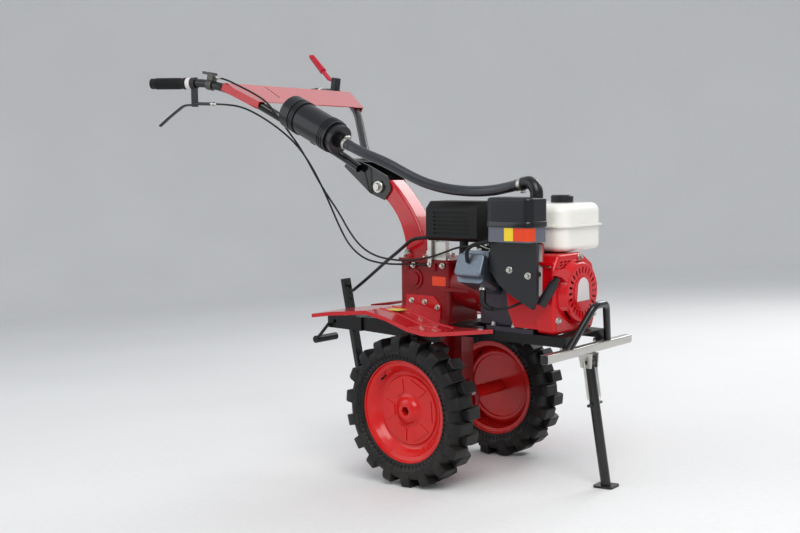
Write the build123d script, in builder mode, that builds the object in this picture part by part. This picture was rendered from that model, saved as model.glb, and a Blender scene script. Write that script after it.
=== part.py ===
# Walk-behind petrol rotary tiller, parked on its two transport wheels and its front stand.
# The machine is drawn level, with X forward from the wheel axle, Y to its left and Z up from
# the ground below the axle. At the end it is leaned forward about the axle onto its stand.
from build123d import *
from math import cos, pi, radians, sin, tan
import os

os.makedirs("parts", exist_ok=True)

# Driving dimensions, in millimetres and degrees
WHEEL_OD = 410.0          # over the tips of the lugs
TRACK = 406.0             # between the middles of the two tyres
TYRE_WIDTH = 96.0
RIM_LIP_R = 140.0
RIM_WIDTH = 70.0
LUG_PAIRS = 18            # one lug on each shoulder in each pair
LUG_HEIGHT = 19.0
LUG_HALF_ANGLE = 4.1      # half the width of a lug's crown
LUG_OVERLAP = 10.0        # how far a lug reaches past the middle of the tread
LUG_FLARE = 0.7           # how much wider the half angle of a lug's foot is
LUG_FOOT = 6.0            # how deep a lug's foot sits in the carcass
LEAN = 4.3                # how far the parked machine leans forward
AXLE_Z = WHEEL_OD / 2

SHAFT_AF = 23.0           # across the flats of the hexagonal output shaft
JOURNAL_R = 20.0          # round part of the shaft, in the gearbox
SHAFT_BOSS_Y = 56.0       # end of the bearing bosses
RUNNING = 0.05            # radial clearance of a shaft that turns in its bore
SEAT = 0.3                # gap between two pieces that rest on each other along a curved face

CASE_BACK_X, CASE_FRONT_X = -150.0, 30.0
CASE_TOP_Z = 596.0
CASE_HALF_Y = 72.0
CASE_FLANGE_T = 9.0       # joint between the case and its lid
LEG_BACK_X, LEG_FRONT_X = -38.0, 40.0
LEG_HALF_Y = 28.0
HOUSING_R = 58.0
BELL_R = 84.0
BELL_LEDGE_Z = 520.0
CRANK_Z = 536.0           # height of the crankshaft
ENGINE_BASE_Z = 430.0
PTO_X = 150.0             # back of the crankcase
FAN_X = 342.0             # back of the fan cover
FAN_FRONT_X = 394.0
FAN_SIDE_Y = 104.0        # right side of the fan cover
RECOIL_X = 414.0          # front of the recoil starter
RECOIL_R = 79.0
CYLINDER_X = 186.0
CYLINDER_TILT = 22.0      # the cylinder lies on its right side, raised by this angle
VALVE_COVER_T = 20.0
HEAD_REACH = 200.0        # from the crankshaft to the face of the valve cover
TANK_BACK_X, TANK_FRONT_X = 196.0, 386.0
TANK_Y, TANK_W = 52.0, 200.0
TANK_Z, TANK_H = 640.0, 124.0
TANK_SEAM_H = 64.0        # seam above the tank's floor
BLOCK_HALF_Y = 84.0
BLOCK_TOP_Z = 612.0
CARB_OUT_Y = 148.0
STRIP_T = 6.0             # strip beside the fan cover
CARB_BACK_X = 228.0       # intake side of the cylinder
CLEANER_BASE_Z = 672.0
CLEANER_SEAM_Z = 710.0
CLEANER_TOP_Z = 784.0

COLUMN_W = 62.0
PIVOT_X, PIVOT_Z = -255.0, 807.0     # bolt that the handlebar turns on
PIVOT_R = 7.0
BRACKET_T = 5.0
BAR_R = 13.0
BAR_WALL = 2.2
GRIP_R = 16.5
GRIP_GAP = 8.0            # from the bend of the bar to the grip's collar
GRIP_RIBS = 11
PLATE_T = 2.5
PANEL_DROP = 24.0         # how far the panel's sides are folded down
PANEL_BACK_Y, PANEL_FRONT_Y = 275.0, 228.0
HOSE_R = 14.5
CABLE_R = 3.0
CLIP_W = 12.0
CLIP_RUN = 5              # run of the throttle's cable that its clip holds

RAIL_Y = 82.0             # middle of each engine rail
RAIL_W, RAIL_H, RAIL_T = 40.0, 26.0, 4.0
CROSSBAR_X, CROSSBAR_Z = 432.0, 391.0
CROSSBAR_HALF = 207.0
CROSSBAR_SIZE = 22.0

STAND_R = 13.0
STAND_TOP_X, STAND_TOP_Z = 434.0, 356.0
FOOT_X = 472.0            # where the stand's foot meets the ground
FOOT_T = 6.0
SPRING_Y, SPRING_R = 28.0, 4.0       # the two springs beside the stand
SPRING_PIN = 0.34         # how far down the leg their cross pin is, as a share of the leg
SPRING_PIN_R = 4.0

FENDER_T = 3.0
FENDER_OUT_Y = 240.0

HITCH_X, HITCH_Z = -408.0, 388.0     # where the depth bar passes the middle of the hitch
HITCH_BACK_X, HITCH_FRONT_X = -490.0, -347.0
DEPTH_W, DEPTH_D = 30.0, 14.0
DEPTH_TILT = 12.0
DEPTH_UP, DEPTH_DOWN = 136.0, 200.0
DEPTH_HOLES = (-182, -160, -128, -92, 74, 92, 110)
SLIDE_GAP = 0.4           # between the depth bar and each wall of its slot

pieces = {}


def keep(builder, name, leans=True):
    """Stores a finished piece under its name, and whether it leans with the machine."""
    builder.part.label = name
    pieces[name] = (builder.part, leans)


def side(y=0.0):
    """Plane seen from the machine's right: local x is X, local y is Z."""
    return Plane((0, y, 0), x_dir=(1, 0, 0), z_dir=(0, -1, 0))


def front(x=0.0):
    """Plane across the machine: local x is Y, local y is Z, the normal points forward."""
    return Plane((x, 0, 0), x_dir=(0, 1, 0), z_dir=(1, 0, 0))


def level(z=0.0):
    """Horizontal plane at a height."""
    return Plane((0, 0, z))


def along(start, end):
    """Plane at start whose normal points to end, with its local y as near to upright as it goes."""
    run = Vector(*end) - Vector(*start)
    across = Vector(0, 0, 1).cross(run)
    return Plane(origin=start, x_dir=across if across.length > 0.01 * run.length else (0, 1, 0), z_dir=run)


def tangent_radii(points, share=0.45):
    """Largest tangent arcs for a route: a share of the shorter run at each corner."""
    radii = []
    for a, b, c in zip(points, points[1:], points[2:]):
        run_in, run_out = Vector(*b) - Vector(*a), Vector(*c) - Vector(*b)
        half_turn = radians(run_in.get_angle(run_out)) / 2
        radii.append(share * min(run_in.length, run_out.length) / tan(half_turn))
    return radii


def lean_point(x, z):
    """Where a point of the level machine stands once the machine leans on its stand."""
    a = radians(LEAN)
    dz = z - AXLE_Z
    return x * cos(a) + dz * sin(a), AXLE_Z + dz * cos(a) - x * sin(a)


# Wheels
TREAD_R = AXLE_Z - LUG_HEIGHT
axle_line = Axis((0, 0, AXLE_Z), (0, 1, 0))
HUB_TUBE_R = 19.0
HUB_IN_Y = 62.0           # inner end of the hub tube, beside the gearbox
HUB_OUT = 24.0            # how far the hub's face stands out from the wheel's middle
SHAFT_END_Y = TRACK / 2 - 5
RIM_HALF = RIM_WIDTH / 2
TYRE_HALF = TYRE_WIDTH / 2
DISC_OUT = 9.0            # front of the wheel disc
PAD_T = 2.5               # height of the six pads pressed into the disc
PAD_IN_R, PAD_OUT_R = 52.0, 86.0

# Sections are drawn as (distance out from the wheel's middle, radius)
rim_bed = [
    (-RIM_HALF + 3, RIM_LIP_R), (-RIM_HALF + 8, RIM_LIP_R - 4), (-RIM_HALF + 10, RIM_LIP_R - 12),
    (RIM_HALF - 10, RIM_LIP_R - 12), (RIM_HALF - 8, RIM_LIP_R - 4), (RIM_HALF - 3, RIM_LIP_R),
]
rim_outside = [
    (RIM_HALF, RIM_LIP_R), (RIM_HALF, RIM_LIP_R - 3), (RIM_HALF - 5, RIM_LIP_R - 5),
    (RIM_HALF - 8, RIM_LIP_R - 15), (16, RIM_LIP_R - 26), (7, RIM_LIP_R - 33), (4, RIM_LIP_R - 38),
    (4, RIM_LIP_R - 43), (DISC_OUT, RIM_LIP_R - 47), (DISC_OUT, 45), (13, 37), (19, 31),
    (HUB_OUT, 22), (HUB_OUT, 0),
]
rim_inside = [
    (HUB_IN_Y - TRACK / 2, 0), (HUB_IN_Y - TRACK / 2, HUB_TUBE_R), (DISC_OUT - 3, HUB_TUBE_R),
    (DISC_OUT - 3, RIM_LIP_R - 47), (1, RIM_LIP_R - 44), (1, RIM_LIP_R - 37), (5, RIM_LIP_R - 30),
    (14, RIM_LIP_R - 23), (20, RIM_LIP_R - 15), (-RIM_HALF + 7, RIM_LIP_R - 15),
    (-RIM_HALF + 5, RIM_LIP_R - 5), (-RIM_HALF, RIM_LIP_R - 3), (-RIM_HALF, RIM_LIP_R),
]
TYRE_SHOULDER = 11.0      # how far the shoulder's bevel reaches in from the sidewall
TYRE_BEVEL = 20.0         # and how far down from the tread
SIDES = 2 * LUG_PAIRS     # flats round the tyre's carcass, one below each lug
tyre_inside = [
    (-TYRE_HALF - 4, 0), (-TYRE_HALF - 4, RIM_LIP_R + 25), (-RIM_HALF, RIM_LIP_R),
    (RIM_HALF, RIM_LIP_R), (TYRE_HALF + 4, RIM_LIP_R + 25), (TYRE_HALF + 4, 0),
]

for sign, word in ((1, "left"), (-1, "right")):
    mid = sign * TRACK / 2
    wheel_plane = Plane((0, mid, AXLE_Z), x_dir=(0, sign, 0), z_dir=(-sign, 0, 0))
    with BuildPart() as rim:
        with BuildSketch(wheel_plane):
            with BuildLine():
                Polyline(*(rim_bed + rim_outside + rim_inside), close=True)
            make_face()
        revolve(axis=axle_line)
        # Six pads pressed out of the disc
        with BuildSketch(Plane((0, mid + sign * DISC_OUT, AXLE_Z), x_dir=(1, 0, 0), z_dir=(0, sign, 0))):
            for n in range(6):
                pad = [(PAD_IN_R, 60 * n - 17), (PAD_OUT_R, 60 * n - 20), (PAD_OUT_R, 60 * n + 20),
                       (PAD_IN_R, 60 * n + 17)]
                with BuildLine():
                    Polyline(*[(r * cos(radians(t)), r * sin(radians(t))) for r, t in pad], close=True)
                make_face()
        extrude(amount=PAD_T)
        # Hexagonal bore, seated on the flats of the shaft
        with BuildSketch(Plane((0, 0, AXLE_Z), x_dir=(1, 0, 0), z_dir=(0, sign, 0))):
            RegularPolygon(SHAFT_AF / 2, 6, major_radius=False)
        extrude(amount=TRACK, mode=Mode.SUBTRACT)
    keep(rim, f"{word}_rim", leans=False)

    pitch = 360 / LUG_PAIRS
    with BuildPart() as tyre:
        with BuildSketch(Plane((0, mid - TYRE_HALF, AXLE_Z), x_dir=(1, 0, 0), z_dir=(0, 1, 0))):
            RegularPolygon(TREAD_R, SIDES, rotation=180 / SIDES)
        extrude(amount=TYRE_WIDTH)
        for end in (0, -1):
            wall = tyre.faces().sort_by(Axis.Y)[end]
            chamfer(wall.edges(), length=TYRE_BEVEL, length2=TYRE_SHOULDER, reference=wall)
        # Dished sidewalls and the seat of the rim
        with BuildSketch(wheel_plane):
            with BuildLine():
                Polyline(*tyre_inside, close=True)
            make_face()
        revolve(axis=axle_line, mode=Mode.SUBTRACT)
        # One block lug reaches from past the middle of the tread over one shoulder
        for shoulder in (1, -1):
            turn = 0 if shoulder == sign else pitch / 2
            crown_r = AXLE_Z / cos(radians(LUG_HALF_ANGLE))
            lug_plane = Plane((0, mid, AXLE_Z), x_dir=(1, 0, 0), z_dir=(0, shoulder, 0))
            with BuildSketch(lug_plane.offset(-LUG_OVERLAP)):
                for n in range(LUG_PAIRS):
                    a = 90 + turn + n * pitch
                    foot_half = LUG_HALF_ANGLE + LUG_FLARE
                    corners = [(TREAD_R - LUG_FOOT, a - foot_half), (crown_r, a - LUG_HALF_ANGLE),
                               (crown_r, a + LUG_HALF_ANGLE), (TREAD_R - LUG_FOOT, a + foot_half)]
                    with BuildLine():
                        Polyline(*[(r * cos(radians(t)), r * sin(radians(t))) for r, t in corners],
                                 close=True)
                    make_face()
            extrude(amount=TYRE_HALF + LUG_OVERLAP - 3)
    keep(tyre, f"{word}_tyre", leans=False)

with BuildPart() as shaft:
    with BuildSketch(side(SHAFT_END_Y)):
        with Locations((0, AXLE_Z)):
            RegularPolygon(SHAFT_AF / 2, 6, major_radius=False)
    extrude(amount=2 * SHAFT_END_Y)
    with BuildSketch(side(SHAFT_BOSS_Y + 4)):
        with Locations((0, AXLE_Z)):
            Circle(JOURNAL_R)
    extrude(amount=2 * SHAFT_BOSS_Y + 8)
keep(shaft, "output_shaft", leans=False)


# Gearbox: an upper case, a slim leg and a round lower housing around the output shaft
with BuildPart() as gearbox:
    with BuildSketch(side()):
        with BuildLine():
            Polyline((CASE_BACK_X, CASE_TOP_Z), (CASE_BACK_X, 470), (CASE_BACK_X + 24, 436), (-28, 418),
                     (30, 418), (CASE_FRONT_X, 440), (CASE_FRONT_X, CASE_TOP_Z), close=True)
        make_face()
    extrude(amount=CASE_HALF_Y, both=True)
    fillet(gearbox.edges().filter_by(Axis.Z), radius=16)
    # Leg, round housing and the bearing bosses beside it
    with BuildSketch(side()):
        with BuildLine():
            Polyline((LEG_BACK_X, 430), (LEG_BACK_X, AXLE_Z), (LEG_FRONT_X, AXLE_Z), (LEG_FRONT_X, 430),
                     close=True)
        make_face()
        with Locations((4, AXLE_Z)):
            Circle(HOUSING_R)
    extrude(amount=LEG_HALF_Y, both=True)
    # Seam flange of the lower housing
    with BuildSketch(side()):
        with Locations((4, AXLE_Z)):
            Circle(HOUSING_R + 10)
    extrude(amount=6, both=True)
    with BuildSketch(side()):
        with Locations((0, AXLE_Z)):
            Circle(JOURNAL_R + 13)
    extrude(amount=SHAFT_BOSS_Y, both=True)
    # Flange that joins the two halves of the case, and the bell towards the engine
    with BuildSketch(level(CASE_TOP_Z)):
        with Locations(((CASE_BACK_X + CASE_FRONT_X) / 2, 0)):
            RectangleRounded(CASE_FRONT_X - CASE_BACK_X + 14, 2 * CASE_HALF_Y + 14, 20)
    extrude(amount=CASE_FLANGE_T)
    with BuildSketch(front(CASE_FRONT_X - 5)) as bell_back:
        with Locations((0, CRANK_Z)):
            Circle(BELL_R - 20)
    with BuildSketch(front(PTO_X - 12)) as bell_front:
        with Locations((0, CRANK_Z)):
            Circle(BELL_R)
    loft(sections=[bell_back.sketch, bell_front.sketch])
    with BuildSketch(front(PTO_X)):
        with Locations((0, CRANK_Z)):
            Circle(BELL_R + 4)
    extrude(amount=-12)
    with BuildSketch(level(BELL_LEDGE_Z)):
        with Locations(((CASE_FRONT_X - 12 + PTO_X) / 2, 0)):
            Rectangle(PTO_X - CASE_FRONT_X + 12, 2 * CASE_HALF_Y + 8)
    extrude(amount=8)
    # Bearing covers on the sides of the case, the bosses of its lid's bolts and the ribs below the bell
    for s in (1, -1):
        with BuildSketch(Plane((0, s * CASE_HALF_Y, 0), x_dir=(1, 0, 0), z_dir=(0, s, 0))):
            with Locations((-92, -s * 548)):
                Circle(30)
        extrude(amount=4)
        with BuildSketch(Plane((0, s * CASE_HALF_Y, 0), x_dir=(1, 0, 0), z_dir=(0, s, 0))):
            with Locations((-92, -s * 548)):
                Circle(19)
        extrude(amount=9)
        with BuildSketch(level(CASE_TOP_Z - 22)):
            with Locations((CASE_BACK_X + 34, s * CASE_HALF_Y), (-20, s * CASE_HALF_Y)):
                Circle(9)
        extrude(amount=22)
        # Stiffening rib from the leg to the housing
        with BuildSketch(front(-9)):
            with BuildLine():
                Polyline((s * 20, 424), (s * 52, 424), (s * 34, 330), (s * 32, AXLE_Z), (s * 20, AXLE_Z),
                         close=True)
            make_face()
        extrude(amount=10)
    # Drain plug below the housing, and the filler plug behind the case
    with BuildSketch(level(AXLE_Z - HOUSING_R - 9)):
        with Locations((4, 0)):
            RegularPolygon(9, 6)
    extrude(amount=-6)
    with BuildSketch(front(CASE_BACK_X)):
        with Locations((0, 500)):
            RegularPolygon(13, 6)
    extrude(amount=-8)
    # Through bore for the shaft's journal
    with BuildSketch(side(TRACK)):
        with Locations((0, AXLE_Z)):
            Circle(JOURNAL_R + RUNNING)
    extrude(amount=2 * TRACK, mode=Mode.SUBTRACT)
keep(gearbox, "gearbox")

# Handle column: a swept-back arm, narrow at the handle's pivot
with BuildPart() as column:
    with BuildSketch(side()):
        with BuildLine():
            rear = ThreePointArc((-156, CASE_TOP_Z + CASE_FLANGE_T), (-186, 715), (-262, 790))
            head = ThreePointArc(rear @ 1, (-272, 812), (-250, 826))
            crown = Line(head @ 1, (-214, 826))
            nose = ThreePointArc(crown @ 1, (-142, 748), (-96, 670))
            toe = Line(nose @ 1, (-82, CASE_TOP_Z + CASE_FLANGE_T))
            Line(toe @ 1, rear @ 0)
        make_face()
    extrude(amount=COLUMN_W / 2, both=True)
    fillet(column.edges().filter_by(GeomType.CIRCLE).group_by(Axis.X)[-1], radius=8)
    with BuildSketch(side(COLUMN_W)):
        with Locations((PIVOT_X, PIVOT_Z)):
            Circle(PIVOT_R + RUNNING)
    extrude(amount=2 * COLUMN_W, mode=Mode.SUBTRACT)
    with BuildSketch(level(CASE_TOP_Z + CASE_FLANGE_T)):
        with Locations((-104, 0)):
            RectangleRounded(104, COLUMN_W + 30, 12)
    extrude(amount=10)
keep(column, "handle_column")

# Handlebar: bracket plates on a bolt through the column, with a bar rising from each side
BRACKET_Y = COLUMN_W / 2 + 1.0
with BuildPart() as bracket:
    for s in (1, -1):
        with BuildSketch(side(s * (BRACKET_Y + BRACKET_T / 2))):
            with BuildLine():
                Polyline((-398, 869), (-374, 894), (-300, 872), (-224, 838), (-208, 800), (-236, 768),
                         (-292, 788), close=True)
            make_face()
        extrude(amount=BRACKET_T / 2, both=True)
        fillet(bracket.edges().filter_by(Axis.Y).group_by(Axis.X)[-1], radius=14)
    # Web that joins the plates behind the column
    with BuildSketch(side()):
        with BuildLine():
            Polyline((-396, 871), (-375, 893), (-330, 881), (-345, 840), close=True)
        make_face()
    extrude(amount=BRACKET_Y + 1, both=True)
    # Pivot bolt with its hexagonal ends
    with BuildSketch(side(BRACKET_Y + BRACKET_T + 4)):
        with Locations((PIVOT_X, PIVOT_Z)):
            Circle(PIVOT_R)
    extrude(amount=2 * (BRACKET_Y + BRACKET_T + 4))
    for s in (1, -1):
        with BuildSketch(Plane((0, s * (BRACKET_Y + BRACKET_T), 0), x_dir=(1, 0, 0), z_dir=(0, s, 0))):
            with Locations((PIVOT_X, s * -PIVOT_Z if s > 0 else PIVOT_Z)):
                RegularPolygon(11, 6, major_radius=False)
        extrude(amount=8)
keep(bracket, "handle_bracket")


BAR_IN_Y = BRACKET_Y + BRACKET_T + BAR_R + SEAT
bar_route = [(-322, BAR_IN_Y, 862), (-385, BAR_IN_Y, 897), (-572, 208, 1052), (-672, 253, 1108),
             (-768, 275, 1130), (-815, 288, 1130), (-935, 337, 1134)]


def mirrored(points, s):
    """The same points on the machine's left (1) or right (-1)."""
    return [(x, s * y, z) for x, y, z in points]


def on_bar(run, share, s):
    """Plane across a bar, part of the way along one run of its route."""
    a, b = [Vector(*p) for p in mirrored(bar_route[run:run + 2], s)]
    return along(a + (b - a) * share, b)


with BuildPart() as bars:
    for s in (1, -1):
        route = mirrored(bar_route, s)
        with BuildLine() as run:
            FilletPolyline(*route, radius=tangent_radii(route))
        with BuildSketch(along(route[0], route[1])):
            Circle(BAR_R)
            Circle(BAR_R - BAR_WALL, mode=Mode.SUBTRACT)
        sweep(path=run.wires()[0])
keep(bars, "handlebars")

grip_run = (Vector(*bar_route[-1]) - Vector(*bar_route[-2])).length
with BuildPart() as grips:
    for s in (1, -1):
        grip_plane = on_bar(5, 0, s)
        with BuildSketch(grip_plane.offset(GRIP_GAP)):
            Circle(GRIP_R + 1.5)
        extrude(amount=10)
        with BuildSketch(grip_plane.offset(GRIP_GAP)):
            Circle(GRIP_R)
        extrude(amount=grip_run + SEAT + 2.5 - GRIP_GAP)
        # Ribs for the fingers
        for n in range(GRIP_RIBS):
            with BuildSketch(grip_plane.offset(GRIP_GAP + 22 + n * 8)):
                Circle(GRIP_R + 1.3)
            extrude(amount=4)
        with BuildSketch(grip_plane.offset(-GRIP_GAP)):
            Circle(BAR_R + SEAT)
        extrude(amount=grip_run + GRIP_GAP + SEAT, mode=Mode.SUBTRACT)
keep(grips, "grips")

# Panel on the bars' rising runs, folded down outside them
panel_run = (Vector(*bar_route[2]) - Vector(*bar_route[3]))
panel_mid = (Vector(*bar_route[2]) + Vector(*bar_route[3])) / 2
panel_up = Vector(-panel_run.Z, 0, panel_run.X).normalized()
panel_plane = Plane(origin=Vector(panel_mid.X, 0, panel_mid.Z) + panel_up * (BAR_R + SEAT + PLATE_T),
                    x_dir=(panel_run.X, 0, panel_run.Z), z_dir=panel_up)
PANEL_HALF = 61.0
with BuildPart() as panel:
    with BuildSketch(panel_plane):
        with BuildLine():
            Polyline((-PANEL_HALF, PANEL_BACK_Y), (PANEL_HALF, PANEL_FRONT_Y),
                     (PANEL_HALF, -PANEL_FRONT_Y), (-PANEL_HALF, -PANEL_BACK_Y), close=True)
        make_face()
    extrude(amount=-PANEL_DROP)
    with BuildSketch(panel_plane.offset(-PLATE_T)):
        with BuildLine():
            k = PANEL_HALF + 20
            flare = (PANEL_BACK_Y - PANEL_FRONT_Y) / (2 * PANEL_HALF) * 20
            Polyline((-k, PANEL_BACK_Y + flare - PLATE_T), (k, PANEL_FRONT_Y - flare - PLATE_T),
                     (k, -PANEL_FRONT_Y + flare + PLATE_T), (-k, -PANEL_BACK_Y - flare + PLATE_T),
                     close=True)
        make_face()
    extrude(amount=-PANEL_DROP, mode=Mode.SUBTRACT)
    # Slot across the right half of the panel
    with BuildSketch(panel_plane.offset(-PLATE_T - 1)):
        with Locations((2, -117)):
            SlotOverall(104, 9)
    extrude(amount=PLATE_T + 2, mode=Mode.SUBTRACT)
keep(panel, "handle_panel")

# Right bar: a hand lever below the grip, and the throttle's thumb control ahead of it
right_at = on_bar(4, 0.62, -1)
BLOCK_DROP = 72.0         # foot of the lever's block, below the middle of the bar
LEVER_DROP = 66.0
adjuster_foot = Vector(-790, -284, 1067)
adjuster_dir = Vector(1, 0, -0.06).normalized()
ADJUSTER_L = 72.0
adjuster_end = adjuster_foot + adjuster_dir * ADJUSTER_L
with BuildPart() as right_clamp:
    with BuildSketch(right_at.offset(-8)):
        Circle(BAR_R + 5)
        with Locations((0, -(BAR_R + 1 + BLOCK_DROP) / 2)):
            Rectangle(14, BLOCK_DROP - BAR_R - 1)
        Circle(BAR_R + SEAT, mode=Mode.SUBTRACT)
    extrude(amount=16)
    # Cable adjuster that points forward from the foot of the block
    with BuildSketch(Plane(origin=adjuster_foot, z_dir=adjuster_dir)):
        Circle(5)
    extrude(amount=ADJUSTER_L)
keep(right_clamp, "right_lever_clamp")

lever_start = right_at.origin + right_at.z_dir * 8 - right_at.y_dir * LEVER_DROP
lever_route = [
    tuple(lever_start), tuple(lever_start + right_at.z_dir * 32), (-888, -310, 1030), (-921, -325, 1002),
]
with BuildPart() as right_lever:
    with BuildLine() as run:
        FilletPolyline(*lever_route, radius=tangent_radii(lever_route))
    with BuildSketch(along(lever_route[0], lever_route[1])):
        RectangleRounded(13, 6, 2.5)
    sweep(path=run.wires()[0])
keep(right_lever, "right_lever")

throttle_at = on_bar(3, 0.66, -1)
with BuildPart() as throttle:
    with BuildSketch(throttle_at.offset(-10)):
        Circle(BAR_R + 4)
        with Locations((0, 24)):
            RectangleRounded(24, 26, 5)
        Circle(BAR_R + SEAT, mode=Mode.SUBTRACT)
    extrude(amount=20)
    # Thumb lever on the rear face
    with BuildSketch(throttle_at.offset(10)):
        with Locations((0, 32)):
            RectangleRounded(20, 8, 3)
    extrude(amount=22)
keep(throttle, "throttle_control")
throttle_out = throttle_at.origin - throttle_at.z_dir * 10 + throttle_at.y_dir * 26

# Left bar: a tall lever in a cast clamp
left_at = on_bar(3, 0.62, 1)
with BuildPart() as left_clamp:
    with BuildSketch(left_at.offset(-12)):
        Circle(BAR_R + 5)
        with Locations((0, 32)):
            RectangleRounded(22, 42, 3)
        Circle(BAR_R + SEAT, mode=Mode.SUBTRACT)
    extrude(amount=24)
keep(left_clamp, "left_lever_clamp")
left_start = left_at.origin + left_at.z_dir * 12 + left_at.y_dir * 42
left_route = [tuple(left_start), tuple(left_start + left_at.z_dir * 30), (-856, 278, 1260)]
with BuildPart() as left_lever:
    with BuildLine() as run:
        FilletPolyline(*left_route, radius=18)
    with BuildSketch(along(left_route[0], left_route[1])):
        RectangleRounded(18, 8, 3)
    sweep(path=run.wires()[0])
keep(left_lever, "left_lever")

# Air precleaner on a strap outside the right bar
CAN_R = 48.0
CAN_CAP = 34.0            # length of the rear cap
NECK_R = 19.0
can_back, can_front = Vector(-467, -182, 1031), Vector(-291, -182, 951)
can_plane = along(can_back, can_front)
can_dir = can_plane.z_dir
can_length = (can_front - can_back).length
neck_end = can_front + can_dir * 36
with BuildPart() as canister:
    with BuildSketch(can_plane):
        Circle(CAN_R)
    extrude(amount=can_length)
    with BuildSketch(can_plane):
        Circle(CAN_R + 2.5)
    extrude(amount=CAN_CAP)
    for n in range(3):
        with BuildSketch(can_plane.offset(can_length - 30 + 8 * n)):
            Circle(CAN_R + 1.5)
        extrude(amount=4)
    with BuildSketch(can_plane.offset(can_length)) as wide:
        Circle(CAN_R - 6)
    with BuildSketch(can_plane.offset(can_length + 14)) as narrow:
        Circle(NECK_R + 3)
    loft(sections=[wide.sketch, narrow.sketch])
    with BuildSketch(can_plane.offset(can_length + 14)):
        Circle(NECK_R)
    extrude(amount=22)
keep(canister, "air_precleaner")

STRAP_AT = 48.0           # middle of the strap, from the precleaner's rear end
STRAP_W = 18.0
strap_at = can_back + can_dir * STRAP_AT
bar_a, bar_b = [Vector(*q) for q in mirrored(bar_route[1:3], -1)]
bar_u = (bar_a - bar_b).normalized()
strap_bar = bar_b + bar_u * ((strap_at - bar_b).dot(can_dir) / bar_u.dot(can_dir))
with BuildPart() as strap:
    with BuildSketch(can_plane.offset(STRAP_AT - STRAP_W / 2)):
        Circle(CAN_R + 3)
    extrude(amount=STRAP_W)
    # Arm in to the bar, and the clamp round it
    with BuildSketch(along(strap_bar, strap_at)):
        Rectangle(10, STRAP_W)
    extrude(amount=(strap_at - strap_bar).length - CAN_R)
    with BuildSketch(Plane(origin=strap_bar - bar_u * STRAP_W / 2, z_dir=bar_u)):
        Circle(BAR_R + 4)
    extrude(amount=STRAP_W)
    with BuildSketch(Plane(origin=strap_bar - bar_u * STRAP_W, z_dir=bar_u)):
        Circle(BAR_R + SEAT)
    extrude(amount=2 * STRAP_W, mode=Mode.SUBTRACT)
    with BuildSketch(can_plane.offset(-1)):
        Circle(CAN_R + SEAT)
    extrude(amount=can_length, mode=Mode.SUBTRACT)
keep(strap, "precleaner_strap")

# Cords, each one tube along its whole route: straight runs joined by tangent arcs
ELBOW_TOP = Vector(362, -135, 826)
ELBOW_END = Vector(318, -124, 818)
elbow_out = (ELBOW_END - ELBOW_TOP).normalized()
hose_route = [
    tuple(neck_end), tuple(neck_end + can_dir * 66), (-116, -160, 877), (-60, -145, 846), (-6, -130, 820),
    (56, -112, 803), (125, -100, 796), (195, -98, 798), tuple(ELBOW_END + elbow_out * 62), tuple(ELBOW_END),
]
clutch_route = [
    tuple(adjuster_end), tuple(adjuster_end + adjuster_dir * 62), (-597, -262, 1049), (-542, -235, 1018),
    (-488, -207, 976), (-440, -188, 930), (-408, -168, 875), (-386, -148, 815), (-368, -128, 752),
    (-352, -110, 692), (-325, -97, 635), (-275, -90, 598), (-215, -87, 587), (-154, -86, 586),
    (-94, -85, 590), (-34, -85, 590),
]
throttle_route = [
    tuple(throttle_out), tuple(throttle_out - throttle_at.z_dir * 42), (-636, -250, 1117), (-592, -234, 1095),
    (-549, -212, 1066), (-525, -197, 1030), (-490, -177, 973), (-456, -163, 925), (-427, -153, 874),
    (-402, -143, 826), (-376, -130, 780), (-344, -116, 730), (-314, -106, 676), (-276, -98, 632),
    (-226, -93, 608), (-170, -92, 600), (-112, -92, 599), (-56, -92, 606), (-2, -95, 617), (52, -106, 633),
    (108, -132, 648), (168, -140, 656), (CARB_BACK_X, -140, 656),
]
for name, route, r in (("air_hose", hose_route, HOSE_R), ("clutch_cable", clutch_route, CABLE_R),
                       ("throttle_cable", throttle_route, CABLE_R)):
    radii = tangent_radii(route)
    with BuildPart() as cord:
        with BuildLine() as run:
            FilletPolyline(*route, radius=radii)
        with BuildSketch(along(route[0], route[1])):
            Circle(r)
        sweep(path=run.wires()[0])
    length = run.wires()[0].length
    print(name, "length", round(length), "least arc", round(min(radii)), "volume over section x length",
          round(cord.part.volume / (pi * r * r * length), 5))
    keep(cord, name)

# Clip that holds the throttle's cable beside the right bar
clip_a, clip_b = [Vector(*q) for q in throttle_route[CLIP_RUN:CLIP_RUN + 2]]
clip_mid = (clip_a + clip_b) / 2
clip_bar = bar_b + bar_u * (clip_mid - bar_b).dot(bar_u)
with BuildPart() as clip:
    with BuildSketch(Plane(origin=clip_bar - bar_u * CLIP_W / 2, z_dir=bar_u)):
        Circle(BAR_R + 2.5)
    extrude(amount=CLIP_W)
    with BuildSketch(along(clip_bar, clip_mid)):
        Rectangle(5, CLIP_W)
    extrude(amount=(clip_mid - clip_bar).length)
    ring_plane = along(clip_a, clip_b)
    ring_plane = Plane(origin=clip_mid, x_dir=ring_plane.x_dir, z_dir=ring_plane.z_dir)
    with BuildSketch(ring_plane.offset(-CLIP_W / 2)):
        Circle(CABLE_R + 3)
    extrude(amount=CLIP_W)
    with BuildSketch(ring_plane.offset(-2 * CLIP_W)):
        Circle(CABLE_R + SEAT)
    extrude(amount=4 * CLIP_W, mode=Mode.SUBTRACT)
    with BuildSketch(Plane(origin=clip_bar - bar_u * 3 * CLIP_W, z_dir=bar_u)):
        Circle(BAR_R + SEAT)
    extrude(amount=6 * CLIP_W, mode=Mode.SUBTRACT)
keep(clip, "cable_clip")


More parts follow.
